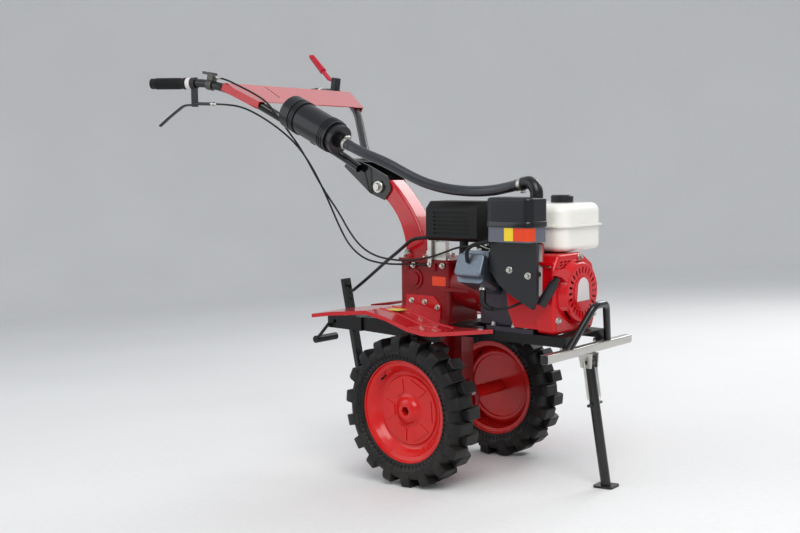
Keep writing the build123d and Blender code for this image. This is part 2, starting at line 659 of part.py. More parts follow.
# Engine
with BuildPart() as crankcase:
    with BuildSketch(front(PTO_X)):
        with BuildLine():
            Polyline((-70, ENGINE_BASE_Z), (-BLOCK_HALF_Y, ENGINE_BASE_Z + 14), (-BLOCK_HALF_Y, 590),
                     (-60, BLOCK_TOP_Z), (60, BLOCK_TOP_Z), (BLOCK_HALF_Y, 590),
                     (BLOCK_HALF_Y, ENGINE_BASE_Z + 14), (76, ENGINE_BASE_Z), close=True)
        make_face()
    extrude(amount=FAN_X - PTO_X)
    # Foot that stands on the rails, and the stay that carries the tank
    with BuildSketch(level(ENGINE_BASE_Z)):
        with Locations(((PTO_X + FAN_X) / 2 + 6, 0)):
            RectangleRounded(150, 2 * RAIL_Y + RAIL_W, 8)
    extrude(amount=12)
    with BuildSketch(level(BLOCK_TOP_Z)):
        with Locations((270, 30)):
            RectangleRounded(130, 60, 8)
    extrude(amount=TANK_Z - BLOCK_TOP_Z)
keep(crankcase, "engine_block")

FINS, FIN_PITCH, FIN_T = 5, 7.0, 2.5
BARREL_END = 110.0        # from the crankshaft to the head, along the cylinder
tilt = radians(CYLINDER_TILT)
barrel_dir = Vector(0, -cos(tilt), sin(tilt))
barrel_plane = Plane(origin=(CYLINDER_X, 0, CRANK_Z), x_dir=(1, 0, 0), z_dir=barrel_dir)
with BuildPart() as cylinder:
    with BuildSketch(barrel_plane.offset(60)):
        RectangleRounded(58, 66, 10)
    extrude(amount=BARREL_END - 60)
    with BuildSketch(barrel_plane.offset(BARREL_END)):
        RectangleRounded(2 * (CARB_BACK_X - CYLINDER_X), 88, 12)
    extrude(amount=HEAD_REACH - VALVE_COVER_T - BARREL_END)
    # Cooling fins
    for n in range(FINS):
        with BuildSketch(barrel_plane.offset(BARREL_END - (n + 1) * FIN_PITCH)):
            RectangleRounded(70, 86, 12)
        extrude(amount=FIN_T)
    # The barrel starts at the side of the block
    with BuildSketch(side(-BLOCK_HALF_Y)):
        with Locations((CYLINDER_X, CRANK_Z)):
            Rectangle(200, 200)
    extrude(amount=-100, mode=Mode.SUBTRACT)
keep(cylinder, "cylinder")
with BuildPart() as valve_cover:
    with BuildSketch(barrel_plane.offset(HEAD_REACH - VALVE_COVER_T)):
        RectangleRounded(86, 62, 12)
    extrude(amount=VALVE_COVER_T)
    fillet(valve_cover.faces().sort_by(Axis.Y)[0].edges(), radius=5)
keep(valve_cover, "valve_cover")

with BuildPart() as fan_cover:
    with BuildSketch(front(FAN_X)):
        with BuildLine():
            Polyline((-96, 432), (-FAN_SIDE_Y, 470), (-FAN_SIDE_Y, 600), (-80, 637), (30, 637), (84, 606),
                     (102, 560), (102, 470), (84, 432), close=True)
        make_face()
    extrude(amount=FAN_FRONT_X - FAN_X)
    fillet(fan_cover.edges().filter_by(Axis.X), radius=14)
    fillet(fan_cover.faces().sort_by(Axis.X)[-1].edges(), radius=9)
    # Block of small slots above the starter
    with BuildSketch(front(FAN_FRONT_X)):
        with Locations((-52, 606)):
            with GridLocations(19, 7.5, 3, 4):
                SlotOverall(15, 4, rotation=12)
    extrude(amount=-5, mode=Mode.SUBTRACT)
    # Sheet that leads the air back along the block
    with BuildSketch(side(-BLOCK_HALF_Y - 12)):
        with BuildLine():
            Polyline((245, 533), (FAN_X + 4, 560), (FAN_X + 4, 444), (268, 444), (248, 490), close=True)
        make_face()
    extrude(amount=3)
    # Strip with the throttle's slots, and its small lever
    with BuildSketch(side(-FAN_SIDE_Y)):
        with BuildLine():
            Polyline((343, 527), (364, 527), (364, 664), (358, 668), (343, 668), close=True)
        make_face()
    extrude(amount=STRIP_T)
    with BuildSketch(side(-FAN_SIDE_Y - STRIP_T)):
        with BuildLine():
            Polyline((352, 612), (396, 610), (399, 615), (396, 619), (352, 620), close=True)
        make_face()
    extrude(amount=3)
keep(fan_cover, "fan_cover")

# Recoil starter: a turned cup with a ring of slots in its face and windows round its side
RECOIL_WALL = 3.0
RECOIL_SLOTS = 24
SLOT_RING_R = RECOIL_R - 21
with BuildPart() as recoil:
    root_z, crown_z = CRANK_Z + RECOIL_R + 6, CRANK_Z + RECOIL_R - 4
    with BuildSketch(side()):
        with BuildLine():
            outer = FilletPolyline((FAN_FRONT_X, root_z), (RECOIL_X, crown_z), (RECOIL_X, CRANK_Z), radius=6)
            step = Line(outer @ 1, (RECOIL_X - RECOIL_WALL, CRANK_Z))
            inner = FilletPolyline(step @ 1, (RECOIL_X - RECOIL_WALL, crown_z - RECOIL_WALL),
                                   (FAN_FRONT_X, root_z - RECOIL_WALL), radius=3)
            Line(inner @ 1, outer @ 0)
        make_face()
    revolve(axis=Axis((0, 0, CRANK_Z), (1, 0, 0)))
    # Slots cut through the face, then the windows
    with BuildSketch(front(RECOIL_X - 8)):
        with Locations((0, CRANK_Z)):
            with PolarLocations(SLOT_RING_R, RECOIL_SLOTS):
                SlotOverall(17, 6)
    extrude(amount=12, mode=Mode.SUBTRACT)
    with BuildSketch(front(FAN_FRONT_X + 5)):
        with Locations((0, CRANK_Z)):
            Circle(RECOIL_R + 20)
            Circle(RECOIL_R - 20, mode=Mode.SUBTRACT)
            with PolarLocations(RECOIL_R, 8, start_angle=22.5):
                Rectangle(60, 26, mode=Mode.SUBTRACT)
            # No window behind the ear of the starting grip
            with Locations((-RECOIL_R, RECOIL_R / 3)):
                Rectangle(90, 130, mode=Mode.SUBTRACT)
    extrude(amount=8, mode=Mode.SUBTRACT)
    # Raised shield in the middle of the face
    with BuildSketch(front(RECOIL_X)):
        with Locations((0, CRANK_Z)):
            Circle(RECOIL_R - 36)
    extrude(amount=2)
    # Ear with the seat of the starting grip
    with BuildSketch(front(FAN_FRONT_X + 6)):
        with BuildLine():
            Polyline((-48, 590), (-86, 604), (-120, 600), (-122, 588), (-96, 582), (-60, 560), close=True)
        make_face()
    extrude(amount=12)
keep(recoil, "recoil_cover")
grip_top, grip_foot = Vector(406, -107, 581.2), Vector(371, -131, 512)
with BuildPart() as starter_grip:
    with BuildSketch(along(grip_top, grip_foot)):
        Circle(8)
    extrude(amount=16)
    with BuildSketch(along(grip_top, grip_foot).offset(14)):
        Ellipse(10, 12.5)
    extrude(amount=(grip_foot - grip_top).length - 14)
keep(starter_grip, "recoil_grip")

TANK_MID_X = (TANK_BACK_X + TANK_FRONT_X) / 2
with BuildPart() as tank:
    with BuildSketch(level(TANK_Z)):
        with Locations((TANK_MID_X, TANK_Y)):
            RectangleRounded(TANK_FRONT_X - TANK_BACK_X, TANK_W, 34)
    extrude(amount=TANK_H)
    fillet(tank.faces().sort_by(Axis.Z)[-1].edges(), radius=24)
    fillet(tank.faces().sort_by(Axis.Z)[0].edges(), radius=16)
    with BuildSketch(level(TANK_Z + TANK_SEAM_H)):
        with Locations((TANK_MID_X, TANK_Y)):
            RectangleRounded(TANK_FRONT_X - TANK_BACK_X + 16, TANK_W + 16, 40)
    extrude(amount=4)
keep(tank, "fuel_tank")
with BuildPart() as fuel_cap:
    with BuildSketch(level(TANK_Z + TANK_H)):
        with Locations((TANK_MID_X + 10, TANK_Y + 28)):
            Circle(30)
    extrude(amount=20)
    chamfer(fuel_cap.faces().sort_by(Axis.Z)[-1].edges(), length=3)
    # Grip notches round the rim
    with BuildSketch(level(TANK_Z + TANK_H + 4)):
        with Locations((TANK_MID_X + 10, TANK_Y + 28)):
            with PolarLocations(31.5, 18):
                Circle(2.5)
    extrude(amount=20, mode=Mode.SUBTRACT)
keep(fuel_cap, "fuel_cap")

MUFFLER_Z = 662.0
MUFFLER_BACK_X = -6.0
MUFFLER_SIDE_Y = 124.0
MUFFLER_TOP_Z = 770.0
LOUVRE_DEPTH = 3.0
pipe_route = [(CYLINDER_X - 42, -112, 583), (110, -112, 583), (110, -104, MUFFLER_Z)]
with BuildPart() as muffler:
    with BuildSketch(front(MUFFLER_BACK_X)):
        with BuildLine():
            Polyline((-MUFFLER_SIDE_Y, 672), (-MUFFLER_SIDE_Y, 750), (-104, MUFFLER_TOP_Z),
                     (-22, MUFFLER_TOP_Z), (-22, MUFFLER_Z), (-114, MUFFLER_Z), close=True)
        make_face()
    extrude(amount=174)
    fillet(muffler.edges().filter_by(Axis.X), radius=6)
    # Louvres pressed into the guard's back, side and top
    for n in range(6):
        with BuildSketch(front(MUFFLER_BACK_X)):
            with Locations((-73, 684 + 12 * n)):
                SlotOverall(74, 5)
        extrude(amount=LOUVRE_DEPTH, mode=Mode.SUBTRACT)
        with BuildSketch(side(-MUFFLER_SIDE_Y)):
            with Locations((81, 684 + 11 * n)):
                SlotOverall(120, 5)
        extrude(amount=-LOUVRE_DEPTH, mode=Mode.SUBTRACT)
    with BuildSketch(level(MUFFLER_TOP_Z)):
        for n in range(9):
            with Locations((14 + 17 * n, -63)):
                SlotOverall(56, 6, rotation=90)
    extrude(amount=-LOUVRE_DEPTH, mode=Mode.SUBTRACT)
    # Pipe from the exhaust port, with its flange
    with BuildLine() as run:
        FilletPolyline(*pipe_route, radius=22)
    with BuildSketch(along(pipe_route[0], pipe_route[1])):
        Circle(12)
    sweep(path=run.wires()[0])
    with BuildSketch(along(pipe_route[0], pipe_route[1])):
        RectangleRounded(48, 34, 8)
    extrude(amount=8)
keep(muffler, "muffler")

with BuildPart() as cleaner_base:
    with BuildSketch(level(CLEANER_BASE_Z)):
        with Locations((311, -148)):
            RectangleRounded(134, 84, 18)
    extrude(amount=CLEANER_SEAM_Z - CLEANER_BASE_Z)
keep(cleaner_base, "air_cleaner_base")
with BuildPart() as cleaner_cover:
    with BuildSketch(level(CLEANER_SEAM_Z)):
        with Locations((311, -148)):
            RectangleRounded(138, 88, 20)
    extrude(amount=CLEANER_TOP_Z - CLEANER_SEAM_Z)
    fillet(cleaner_cover.faces().sort_by(Axis.Z)[-1].edges(), radius=8)
    # Elbow that takes the hose
    elbow_route = [(ELBOW_TOP.X, ELBOW_TOP.Y, CLEANER_TOP_Z - 2), tuple(ELBOW_TOP), tuple(ELBOW_END)]
    with BuildLine() as run:
        FilletPolyline(*elbow_route, radius=30)
    with BuildSketch(along(elbow_route[0], elbow_route[1])):
        Circle(HOSE_R + 2)
    sweep(path=run.wires()[0])
keep(cleaner_cover, "air_cleaner_cover")
BOWL_Z = 560.0
with BuildPart() as carburettor:
    with BuildSketch(front(CARB_BACK_X)):
        with Locations((-CARB_OUT_Y + 24, (588 + CLEANER_BASE_Z) / 2)):
            RectangleRounded(48, CLEANER_BASE_Z - 588, 8)
    extrude(amount=78)
    # Float bowl, and the choke's knob towards the back
    with BuildSketch(level(BOWL_Z)):
        with Locations((CARB_BACK_X + 30, -CARB_OUT_Y + 24)):
            Circle(21)
    extrude(amount=590 - BOWL_Z)
    with BuildSketch(level(BOWL_Z - 4)):
        with Locations((CARB_BACK_X + 30, -CARB_OUT_Y + 24)):
            RegularPolygon(7, 6)
    extrude(amount=4)
keep(carburettor, "carburettor")
SHROUD_Y = 160.0
SHROUD_T = 3.0
shroud_outline = [(240, CLEANER_BASE_Z), (233, 617), (237, 594), (264, 560), (298, 536), (365, 503),
                  (377, 529), (377, CLEANER_BASE_Z)]
with BuildPart() as shroud:
    with BuildSketch(side(-SHROUD_Y + SHROUD_T)):
        with BuildLine():
            Polyline(*shroud_outline, close=True)
        make_face()
    extrude(amount=SHROUD_T)
    # Rim folded back round the edge, and the posts that its two bolts pass through
    with BuildSketch(side(-SHROUD_Y + SHROUD_T)):
        with BuildLine():
            Polyline(*shroud_outline, close=True)
        make_face()
        offset(amount=-SHROUD_T, mode=Mode.SUBTRACT)
    extrude(amount=-(SHROUD_Y - SHROUD_T - CARB_OUT_Y))
    for x, z, foot in ((297, 600, CARB_OUT_Y), (353, 588, FAN_SIDE_Y + STRIP_T)):
        with BuildSketch(side(-SHROUD_Y + SHROUD_T)):
            with Locations((x, z)):
                Circle(7)
        extrude(amount=-(SHROUD_Y - SHROUD_T - foot))
keep(shroud, "side_shroud")


# Frame: two channel rails under the engine, a cross bar and a bumper in front
RAIL_BACK_X = LEG_FRONT_X
RAIL_FRONT_X = CROSSBAR_X - CROSSBAR_SIZE / 2
with BuildPart() as frame:
    for s in (1, -1):
        with BuildSketch(front(RAIL_BACK_X)):
            with Locations((s * RAIL_Y, ENGINE_BASE_Z - RAIL_H / 2)):
                Rectangle(RAIL_W, RAIL_H)
            with Locations((s * (RAIL_Y - RAIL_T), ENGINE_BASE_Z - RAIL_H / 2 - RAIL_T)):
                Rectangle(RAIL_W, RAIL_H, mode=Mode.SUBTRACT)
        extrude(amount=RAIL_FRONT_X - RAIL_BACK_X)
    # Cross plates, and the end plates that stand against the cross bar
    for x in (RAIL_BACK_X, RAIL_FRONT_X - 38):
        with BuildSketch(front(x)):
            with Locations((0, ENGINE_BASE_Z - RAIL_T / 2)):
                Rectangle(2 * RAIL_Y, RAIL_T)
        extrude(amount=38)
    for s in (1, -1):
        with BuildSketch(front(RAIL_FRONT_X - RAIL_T)):
            with Locations((s * RAIL_Y, (CROSSBAR_Z - CROSSBAR_SIZE / 2 + ENGINE_BASE_Z) / 2)):
                Rectangle(RAIL_W, ENGINE_BASE_Z - CROSSBAR_Z + CROSSBAR_SIZE / 2)
        extrude(amount=RAIL_T)
keep(frame, "engine_frame")

# Silver cross bar with the stand's ears below it, and the black bumper loop on its top
EAR_T = 5.0
EAR_Y = STAND_R + EAR_T / 2 + 1.0
with BuildPart() as crossbar:
    with BuildSketch(side(CROSSBAR_HALF)):
        with Locations((CROSSBAR_X, CROSSBAR_Z)):
            RectangleRounded(CROSSBAR_SIZE, CROSSBAR_SIZE, 3)
            RectangleRounded(CROSSBAR_SIZE - 5, CROSSBAR_SIZE - 5, 2, mode=Mode.SUBTRACT)
    extrude(amount=2 * CROSSBAR_HALF)
    for s in (1, -1):
        with BuildSketch(side(s * EAR_Y)):
            with BuildLine():
                Polyline((CROSSBAR_X - 20, CROSSBAR_Z - CROSSBAR_SIZE / 2),
                         (CROSSBAR_X + 20, CROSSBAR_Z - CROSSBAR_SIZE / 2),
                         (STAND_TOP_X + 16, STAND_TOP_Z - 14), (STAND_TOP_X - 14, STAND_TOP_Z - 14),
                         close=True)
            make_face()
            with Locations((STAND_TOP_X, STAND_TOP_Z)):
                Circle(6 + RUNNING, mode=Mode.SUBTRACT)
        extrude(amount=EAR_T / 2, both=True)
keep(crossbar, "front_crossbar")

BUMPER_R = 9.5
BUMPER_TOP_Z = 508.0
bumper_foot_z = CROSSBAR_Z + CROSSBAR_SIZE / 2
bumper_route = [(CROSSBAR_X, -97, bumper_foot_z - 4), (CROSSBAR_X + 34, -29, BUMPER_TOP_Z),
                (CROSSBAR_X + 34, 29, BUMPER_TOP_Z), (CROSSBAR_X, 97, bumper_foot_z - 4)]
with BuildPart() as bumper:
    with BuildLine() as run:
        FilletPolyline(*bumper_route, radius=30)
    with BuildSketch(along(bumper_route[0], bumper_route[1])):
        Circle(BUMPER_R)
    sweep(path=run.wires()[0])
    with BuildSketch(level(bumper_foot_z)):
        with Locations((CROSSBAR_X, 0)):
            Rectangle(100, 300)
    extrude(amount=-30, mode=Mode.SUBTRACT)
keep(bumper, "front_bumper")


# Front stand, drawn where it stands: a tube from the pivot to a flat foot
top_x, top_z = lean_point(STAND_TOP_X, STAND_TOP_Z)
leg_top, leg_foot = (top_x, 0, top_z), (FOOT_X, 0, FOOT_T / 2)
with BuildPart() as stand:
    with BuildSketch(along(leg_top, leg_foot)):
        Circle(STAND_R)
        Circle(STAND_R - 2.5, mode=Mode.SUBTRACT)
    extrude(amount=(Vector(*leg_foot) - Vector(*leg_top)).length)
    with BuildSketch(level(-20)):
        with Locations((FOOT_X, 0)):
            Rectangle(200, 200)
    extrude(amount=20, mode=Mode.SUBTRACT)
    with BuildSketch(level(0)):
        with Locations((FOOT_X, 0)):
            RectangleRounded(56, 46, 8)
    extrude(amount=FOOT_T)
    # Solid eye and the pin that turns in the ears
    with BuildSketch(Plane((top_x, STAND_R, top_z), z_dir=(0, -1, 0))):
        Circle(STAND_R + 1)
    extrude(amount=2 * STAND_R)
    with BuildSketch(Plane((top_x, EAR_Y + EAR_T, top_z), z_dir=(0, -1, 0))):
        Circle(6)
    extrude(amount=2 * (EAR_Y + EAR_T))
    # Cross pin that the springs pull on
    pin = Vector(*leg_top) + (Vector(*leg_foot) - Vector(*leg_top)) * SPRING_PIN
    with BuildSketch(Plane((pin.X, SPRING_Y + 5, pin.Z), z_dir=(0, -1, 0))):
        Circle(SPRING_PIN_R)
    extrude(amount=2 * SPRING_Y + 10)
keep(stand, "front_stand", leans=False)

hook = Vector(*[(x, 0, z) for x, z in [lean_point(CROSSBAR_X, CROSSBAR_Z - CROSSBAR_SIZE / 2)]][0])
with BuildPart() as springs:
    for s in (1, -1):
        top, foot = Vector(hook.X, s * SPRING_Y, hook.Z), Vector(pin.X, s * SPRING_Y, pin.Z)
        run = foot - top
        with BuildSketch(along(top + run.normalized() * 0.8, foot)):
            Circle(SPRING_R)
        extrude(amount=run.length - SPRING_PIN_R - 0.8 - SEAT)
keep(springs, "stand_springs", leans=False)


# Fenders: bent sheets over the wheels, bolted by their flanges to the sides of the gearbox
fender_top = [(-392, 437), (-270, 456), (-130, 471), (-60, 460), (20, 437), (90, 428), (210, 433)]
FLANGE_T = 4.0
FENDER_LIP = 11.0         # depth of the folded outer edge
FENDER_BEADS = ((126, -130, 90), (178, -130, 90))
FENDER_IN_Y = CASE_HALF_Y + FLANGE_T
FENDER_RAIL_Y = RAIL_Y + RAIL_W / 2 + 4
with BuildPart() as fenders:
    for s in (1, -1):
        plan = [(-385, s * 60), (-342, s * FENDER_OUT_Y), (72, s * FENDER_OUT_Y), (132, s * 186),
                (206, s * FENDER_RAIL_Y), (CASE_FRONT_X - 4, s * FENDER_RAIL_Y),
                (CASE_FRONT_X - 24, s * FENDER_IN_Y), (-160, s * FENDER_IN_Y)]
        # The sheet, and the lip folded down along its outer edges
        for deep, inset in ((FENDER_T, None), (FENDER_LIP, FENDER_T)):
            with BuildPart(mode=Mode.PRIVATE) as sheet:
                with BuildSketch(side(s * 50)):
                    with BuildLine():
                        under = [(x, z - deep) for x, z in reversed(fender_top)]
                        Polyline(*(fender_top + under), close=True)
                    make_face()
                extrude(amount=s * -(FENDER_OUT_Y - 50))
                with BuildSketch(level(500)):
                    with BuildLine():
                        Polyline(*plan, close=True)
                    make_face()
                    if inset:
                        with BuildLine():
                            rim_y = s * (FENDER_OUT_Y - inset)
                            Polyline((-500, s * 20), (-370, s * 20), (-383, s * 60), (-339, rim_y),
                                     (71, rim_y), (130, s * 182), (206, s * 102), (500, s * 20), close=True)
                        make_face(mode=Mode.SUBTRACT)
                extrude(amount=-120, mode=Mode.INTERSECT)
            add(sheet.part)
        # Stiffening beads pressed up along the sheet
        for y, back, ahead in FENDER_BEADS:
            bead = [(x, s * y, z - 1) for x, z in fender_top if back <= x <= ahead]
            with BuildLine() as run:
                Polyline(*bead)
            with BuildSketch(along(bead[0], bead[1])):
                Circle(3.5)
            sweep(path=run.wires()[0], transition=Transition.ROUND)
        with BuildSketch(side(s * FENDER_IN_Y)):
            with BuildLine():
                Polyline((-122, 502), (-122, 468), (-60, 458), (2, 440), (4, 478), (-20, 502), close=True)
            make_face()
        extrude(amount=s * FLANGE_T)
keep(fenders, "fenders")


# Hitch behind the gearbox, with a sleeve for the depth bar
tilt_depth = radians(DEPTH_TILT)
depth_up = Vector(-sin(tilt_depth), 0, cos(tilt_depth))
hitch_at = Vector(HITCH_X, 0, HITCH_Z)
hitch_plane = Plane(origin=hitch_at, x_dir=(0, 1, 0), z_dir=depth_up)
HITCH_HALF_Y, HITCH_HALF_Z = 27.0, 21.0
SOCKET = 30.0             # square socket for a drawbar
SOCKET_DEPTH = 56.0
PIN_R = 6.0
HITCH_PIN_X = HITCH_BACK_X + 30
with BuildPart() as hitch:
    with BuildSketch(side()):
        with BuildLine():
            Polyline((HITCH_BACK_X, HITCH_Z - HITCH_HALF_Z), (HITCH_BACK_X, HITCH_Z + HITCH_HALF_Z),
                     (HITCH_FRONT_X, HITCH_Z + HITCH_HALF_Z), (HITCH_FRONT_X, HITCH_Z - HITCH_HALF_Z),
                     close=True)
        make_face()
    extrude(amount=HITCH_HALF_Y, both=True)
    # Arm forward to the back of the gearbox's leg
    with BuildSketch(side()):
        with BuildLine():
            Polyline((HITCH_FRONT_X, HITCH_Z - 20), (HITCH_FRONT_X, HITCH_Z + 20), (-98, 422),
                     (LEG_BACK_X, 412), (LEG_BACK_X, 352), (-98, 362), close=True)
        make_face()
    extrude(amount=20, both=True)
    with BuildSketch(front(HITCH_BACK_X)):
        with Locations((0, HITCH_Z)):
            Rectangle(SOCKET, SOCKET)
    extrude(amount=SOCKET_DEPTH, mode=Mode.SUBTRACT)
    with BuildSketch(side(2 * HITCH_HALF_Y)):
        with Locations((HITCH_PIN_X, HITCH_Z)):
            Circle(PIN_R)
    extrude(amount=4 * HITCH_HALF_Y, mode=Mode.SUBTRACT)
    # Slot that the depth bar slides in
    with BuildSketch(hitch_plane.offset(-60)):
        Rectangle(DEPTH_W + 2 * SLIDE_GAP, DEPTH_D + 2 * SLIDE_GAP)
    extrude(amount=120, mode=Mode.SUBTRACT)
    # Pivot of the locking lever
    with BuildSketch(side(-HITCH_HALF_Y)):
        with Locations((HITCH_BACK_X + 12, HITCH_Z - 12)):
            Circle(5)
    extrude(amount=8)
keep(hitch, "rear_hitch")
with BuildPart() as depth_bar:
    with BuildSketch(hitch_plane.offset(-DEPTH_DOWN)):
        Rectangle(DEPTH_W, DEPTH_D)
    extrude(amount=DEPTH_UP + DEPTH_DOWN)
    for k in DEPTH_HOLES:
        with BuildSketch(Plane(origin=hitch_at + depth_up * k + Vector(DEPTH_D, 0, 0),
                               x_dir=(0, 1, 0), z_dir=(-cos(tilt_depth), 0, -sin(tilt_depth)))):
            Circle(4.5)
        extrude(amount=2 * DEPTH_D, mode=Mode.SUBTRACT)
keep(depth_bar, "depth_bar")
LEVER_Y = HITCH_HALF_Y + 8 + 5
with BuildPart() as hitch_lever:
    top = Vector(HITCH_BACK_X + 12, -LEVER_Y, HITCH_Z - 12)
    foot = Vector(HITCH_BACK_X - 38, -LEVER_Y, 326)
    with BuildSketch(along(top, foot).offset(-5)):
        Circle(5)
    extrude(amount=(foot - top).length + 5)
    with BuildSketch(side(-LEVER_Y - 6)):
        with Locations((foot.X, foot.Z)):
            Circle(11.5)
    extrude(amount=-2 * LEVER_Y - 12)
keep(hitch_lever, "hitch_lever")

# Shift arm on the gearbox's lid, and the long gear lever that runs back from it
STAY_Y, STAY_T = CASE_HALF_Y - 12, 16.0   # inner face and thickness of the stay on the lid
ARM_Y, ARM_T = CASE_HALF_Y + 9, 5.0
with BuildPart() as clutch_arm:
    with BuildSketch(side(-STAY_Y)):
        with BuildLine():
            Polyline((-34, CASE_TOP_Z + CASE_FLANGE_T), (-34, 672), (-10, 672), (-10, 656), (24, 656),
                     (24, CASE_TOP_Z + CASE_FLANGE_T), close=True)
        make_face()
    extrude(amount=STAY_T)
    with BuildSketch(side(-STAY_Y - STAY_T)):
        with Locations((-26, 660)):
            Circle(6)
    extrude(amount=ARM_Y + 1 - STAY_Y - STAY_T)
    with BuildSketch(side(-ARM_Y)):
        with Locations((-26, 633)):
            SlotCenterToCenter(84, 13, rotation=90)
    extrude(amount=ARM_T)
keep(clutch_arm, "clutch_arm")
shift_route = [(-33, -ARM_Y - 3, 667), (-92, -80, 662), (-166, -54, 622), (-240, -24, 588), (-312, 6, 552),
               (-380, 28, 515), (-440, 38, 480)]
with BuildPart() as gear_lever:
    with BuildLine() as run:
        FilletPolyline(*shift_route, radius=tangent_radii(shift_route))
    with BuildSketch(along(shift_route[0], shift_route[1])):
        Circle(5)
    sweep(path=run.wires()[0])
keep(gear_lever, "gear_lever")


def write_all():
    """Leans the machine, centres it over its base and writes every piece."""
    axle = Axis((0, 0, AXLE_Z), (0, 1, 0))
    placed = {}
    for name, (solid, leans) in pieces.items():
        placed[name] = solid.rotate(axle, LEAN) if leans else solid
    boxes = [solid.bounding_box() for solid in placed.values()]
    low = [min(getattr(box.min, k) for box in boxes) for k in "XYZ"]
    high = [max(getattr(box.max, k) for box in boxes) for k in "XYZ"]
    shift = Vector(-(low[0] + high[0]) / 2, -(low[1] + high[1]) / 2, -low[2])
    print("size", [round(b - a, 1) for a, b in zip(low, high)], "shift", shift)
    for name, solid in placed.items():
        solid = solid.translate(shift)
        solid.label = name
        export_step(solid, f"parts/{name}.step")


write_all()
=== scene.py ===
# %% [markdown]
# # A rotary tiller, dressed for its portrait
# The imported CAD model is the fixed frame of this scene. It brings every rigid shape, already in place and in
# metres: X forward, Y to the machine's left, Z up from the ground. This lesson adds what the solids leave
# out: the camera, the light, the finishes, and the small or soft things such as hoses, springs and bolts.

# %% Load the frame
import bpy
import math
import numpy as np
from mathutils import Matrix, Vector


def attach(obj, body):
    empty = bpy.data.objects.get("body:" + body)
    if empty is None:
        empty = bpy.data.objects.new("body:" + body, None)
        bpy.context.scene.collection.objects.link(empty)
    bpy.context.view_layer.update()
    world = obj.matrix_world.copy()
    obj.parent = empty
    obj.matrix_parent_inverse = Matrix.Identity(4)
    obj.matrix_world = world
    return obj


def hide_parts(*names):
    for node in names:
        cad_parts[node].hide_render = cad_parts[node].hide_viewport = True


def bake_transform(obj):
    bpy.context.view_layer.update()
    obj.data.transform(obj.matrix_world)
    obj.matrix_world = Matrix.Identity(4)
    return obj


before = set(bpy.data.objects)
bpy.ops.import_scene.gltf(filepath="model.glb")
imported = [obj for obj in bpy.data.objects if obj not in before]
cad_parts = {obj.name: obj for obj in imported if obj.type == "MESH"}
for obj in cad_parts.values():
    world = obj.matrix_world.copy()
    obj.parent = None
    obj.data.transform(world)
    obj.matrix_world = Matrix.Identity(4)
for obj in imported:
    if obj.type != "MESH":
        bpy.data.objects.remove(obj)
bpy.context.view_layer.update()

# %% [markdown]
# ## From the drawing to the parked machine
# The source draws the machine level, in millimetres, with X from the axle. Parked, it leans forward about
# the axle onto its stand, and the whole part is moved so that its base is centred. Two small functions repeat
# that move on whole arrays of points, so that every piece below can be given in the drawing's own numbers.

# %% Drawing to part
LEAN = math.radians(4.3)
AXLE_Z = 205.0
SHIFT_X = 185.87
CRANK_Z = 536.0


def stood(points):
    """Points of the wheels and the stand, drawn as parked: moved by the shift, then millimetres to metres."""
    p = np.array(points, float)
    p[..., 0] += SHIFT_X
    return p / 1000


def leaned(points):
    """Points of the level machine: x' = x cos + (z - axle) sin and z' = axle + (z - axle) cos - x sin."""
    p = np.array(points, float)
    x, up = p[..., 0].copy(), p[..., 2] - AXLE_Z
    p[..., 0] = x * math.cos(LEAN) + up * math.sin(LEAN)
    p[..., 2] = AXLE_Z + up * math.cos(LEAN) - x * math.sin(LEAN)
    return stood(p)


def leaned_direction(vector):
    """A direction of the level machine, turned with it and made one long."""
    x, y, z = vector
    turned = np.array([x * math.cos(LEAN) + z * math.sin(LEAN), y, z * math.cos(LEAN) - x * math.sin(LEAN)])
    return turned / np.linalg.norm(turned)


print("crankshaft height", round(float(leaned([200, 0, CRANK_Z])[2]), 4), "m")

# %% [markdown]
# ## Camera
# The camera was fitted to the two wheels, the level ground and the engine's straight edges of the photograph.
# Its three axes go straight into a matrix: right, up and, because a camera looks along its own -Z, the view
# direction turned round. The focal length in pixels gives the lens, by the sensor's and the photo's widths.

# %% Camera
FOCAL_PX = 1033.9177
PHOTO_WIDTH_PX = 800
right = (0.7516754, 0.65598964, -0.0682765)
above = (0.02330768, 0.07703656, 0.9967558)
ahead = (-0.65912127, 0.75082818, -0.0426169)
camera_place = (2.029108, -2.307127, 0.715942)
lens_data = bpy.data.cameras.new("portrait_camera")
lens_data.sensor_width = 36.0
lens_data.lens = FOCAL_PX * lens_data.sensor_width / PHOTO_WIDTH_PX
camera = bpy.data.objects.new("portrait_camera", lens_data)
bpy.context.scene.collection.objects.link(camera)
turn = Matrix((right, above, [-v for v in ahead])).transposed()
camera.matrix_world = Matrix.Translation(camera_place) @ turn.to_4x4()
bpy.context.scene.camera = camera
print("lens", round(lens_data.lens, 2), "mm")

# %% [markdown]
# ## Mesh helpers
# Every new surface is an array of points on a grid of rows and columns. One function joins neighbours of such
# a grid into four-cornered faces, one closes its ends, and one puts the finished arrays into a mesh at once.
# A shape here is a pair of its points and a list of face arrays, and shapes can be added together.

# %% Grids, ends and sums of shapes


def grid(points, wrap_rows=False):
    """Faces from (i, j) to (i + 1, j + 1) of a (rows, columns, 3) grid whose columns close round."""
    rows, columns = points.shape[:2]
    i = np.arange(rows if wrap_rows else rows - 1)[:, None]
    j = np.arange(columns)[None, :]
    next_i, next_j = (i + 1) % rows, (j + 1) % columns
    corners = [i * columns + j, i * columns + next_j, next_i * columns + next_j, next_i * columns + j]
    return points.reshape(-1, 3), [np.stack(np.broadcast_arrays(*corners), -1).reshape(-1, 4)]


def capped(points):
    """The grid's tube, closed at both ends by one flat face of all its columns."""
    rows, columns = points.shape[:2]
    flat, faces = grid(points)
    first = np.arange(columns)[::-1][None, :]
    last = (rows - 1) * columns + np.arange(columns)[None, :]
    return flat, faces + [first, last]


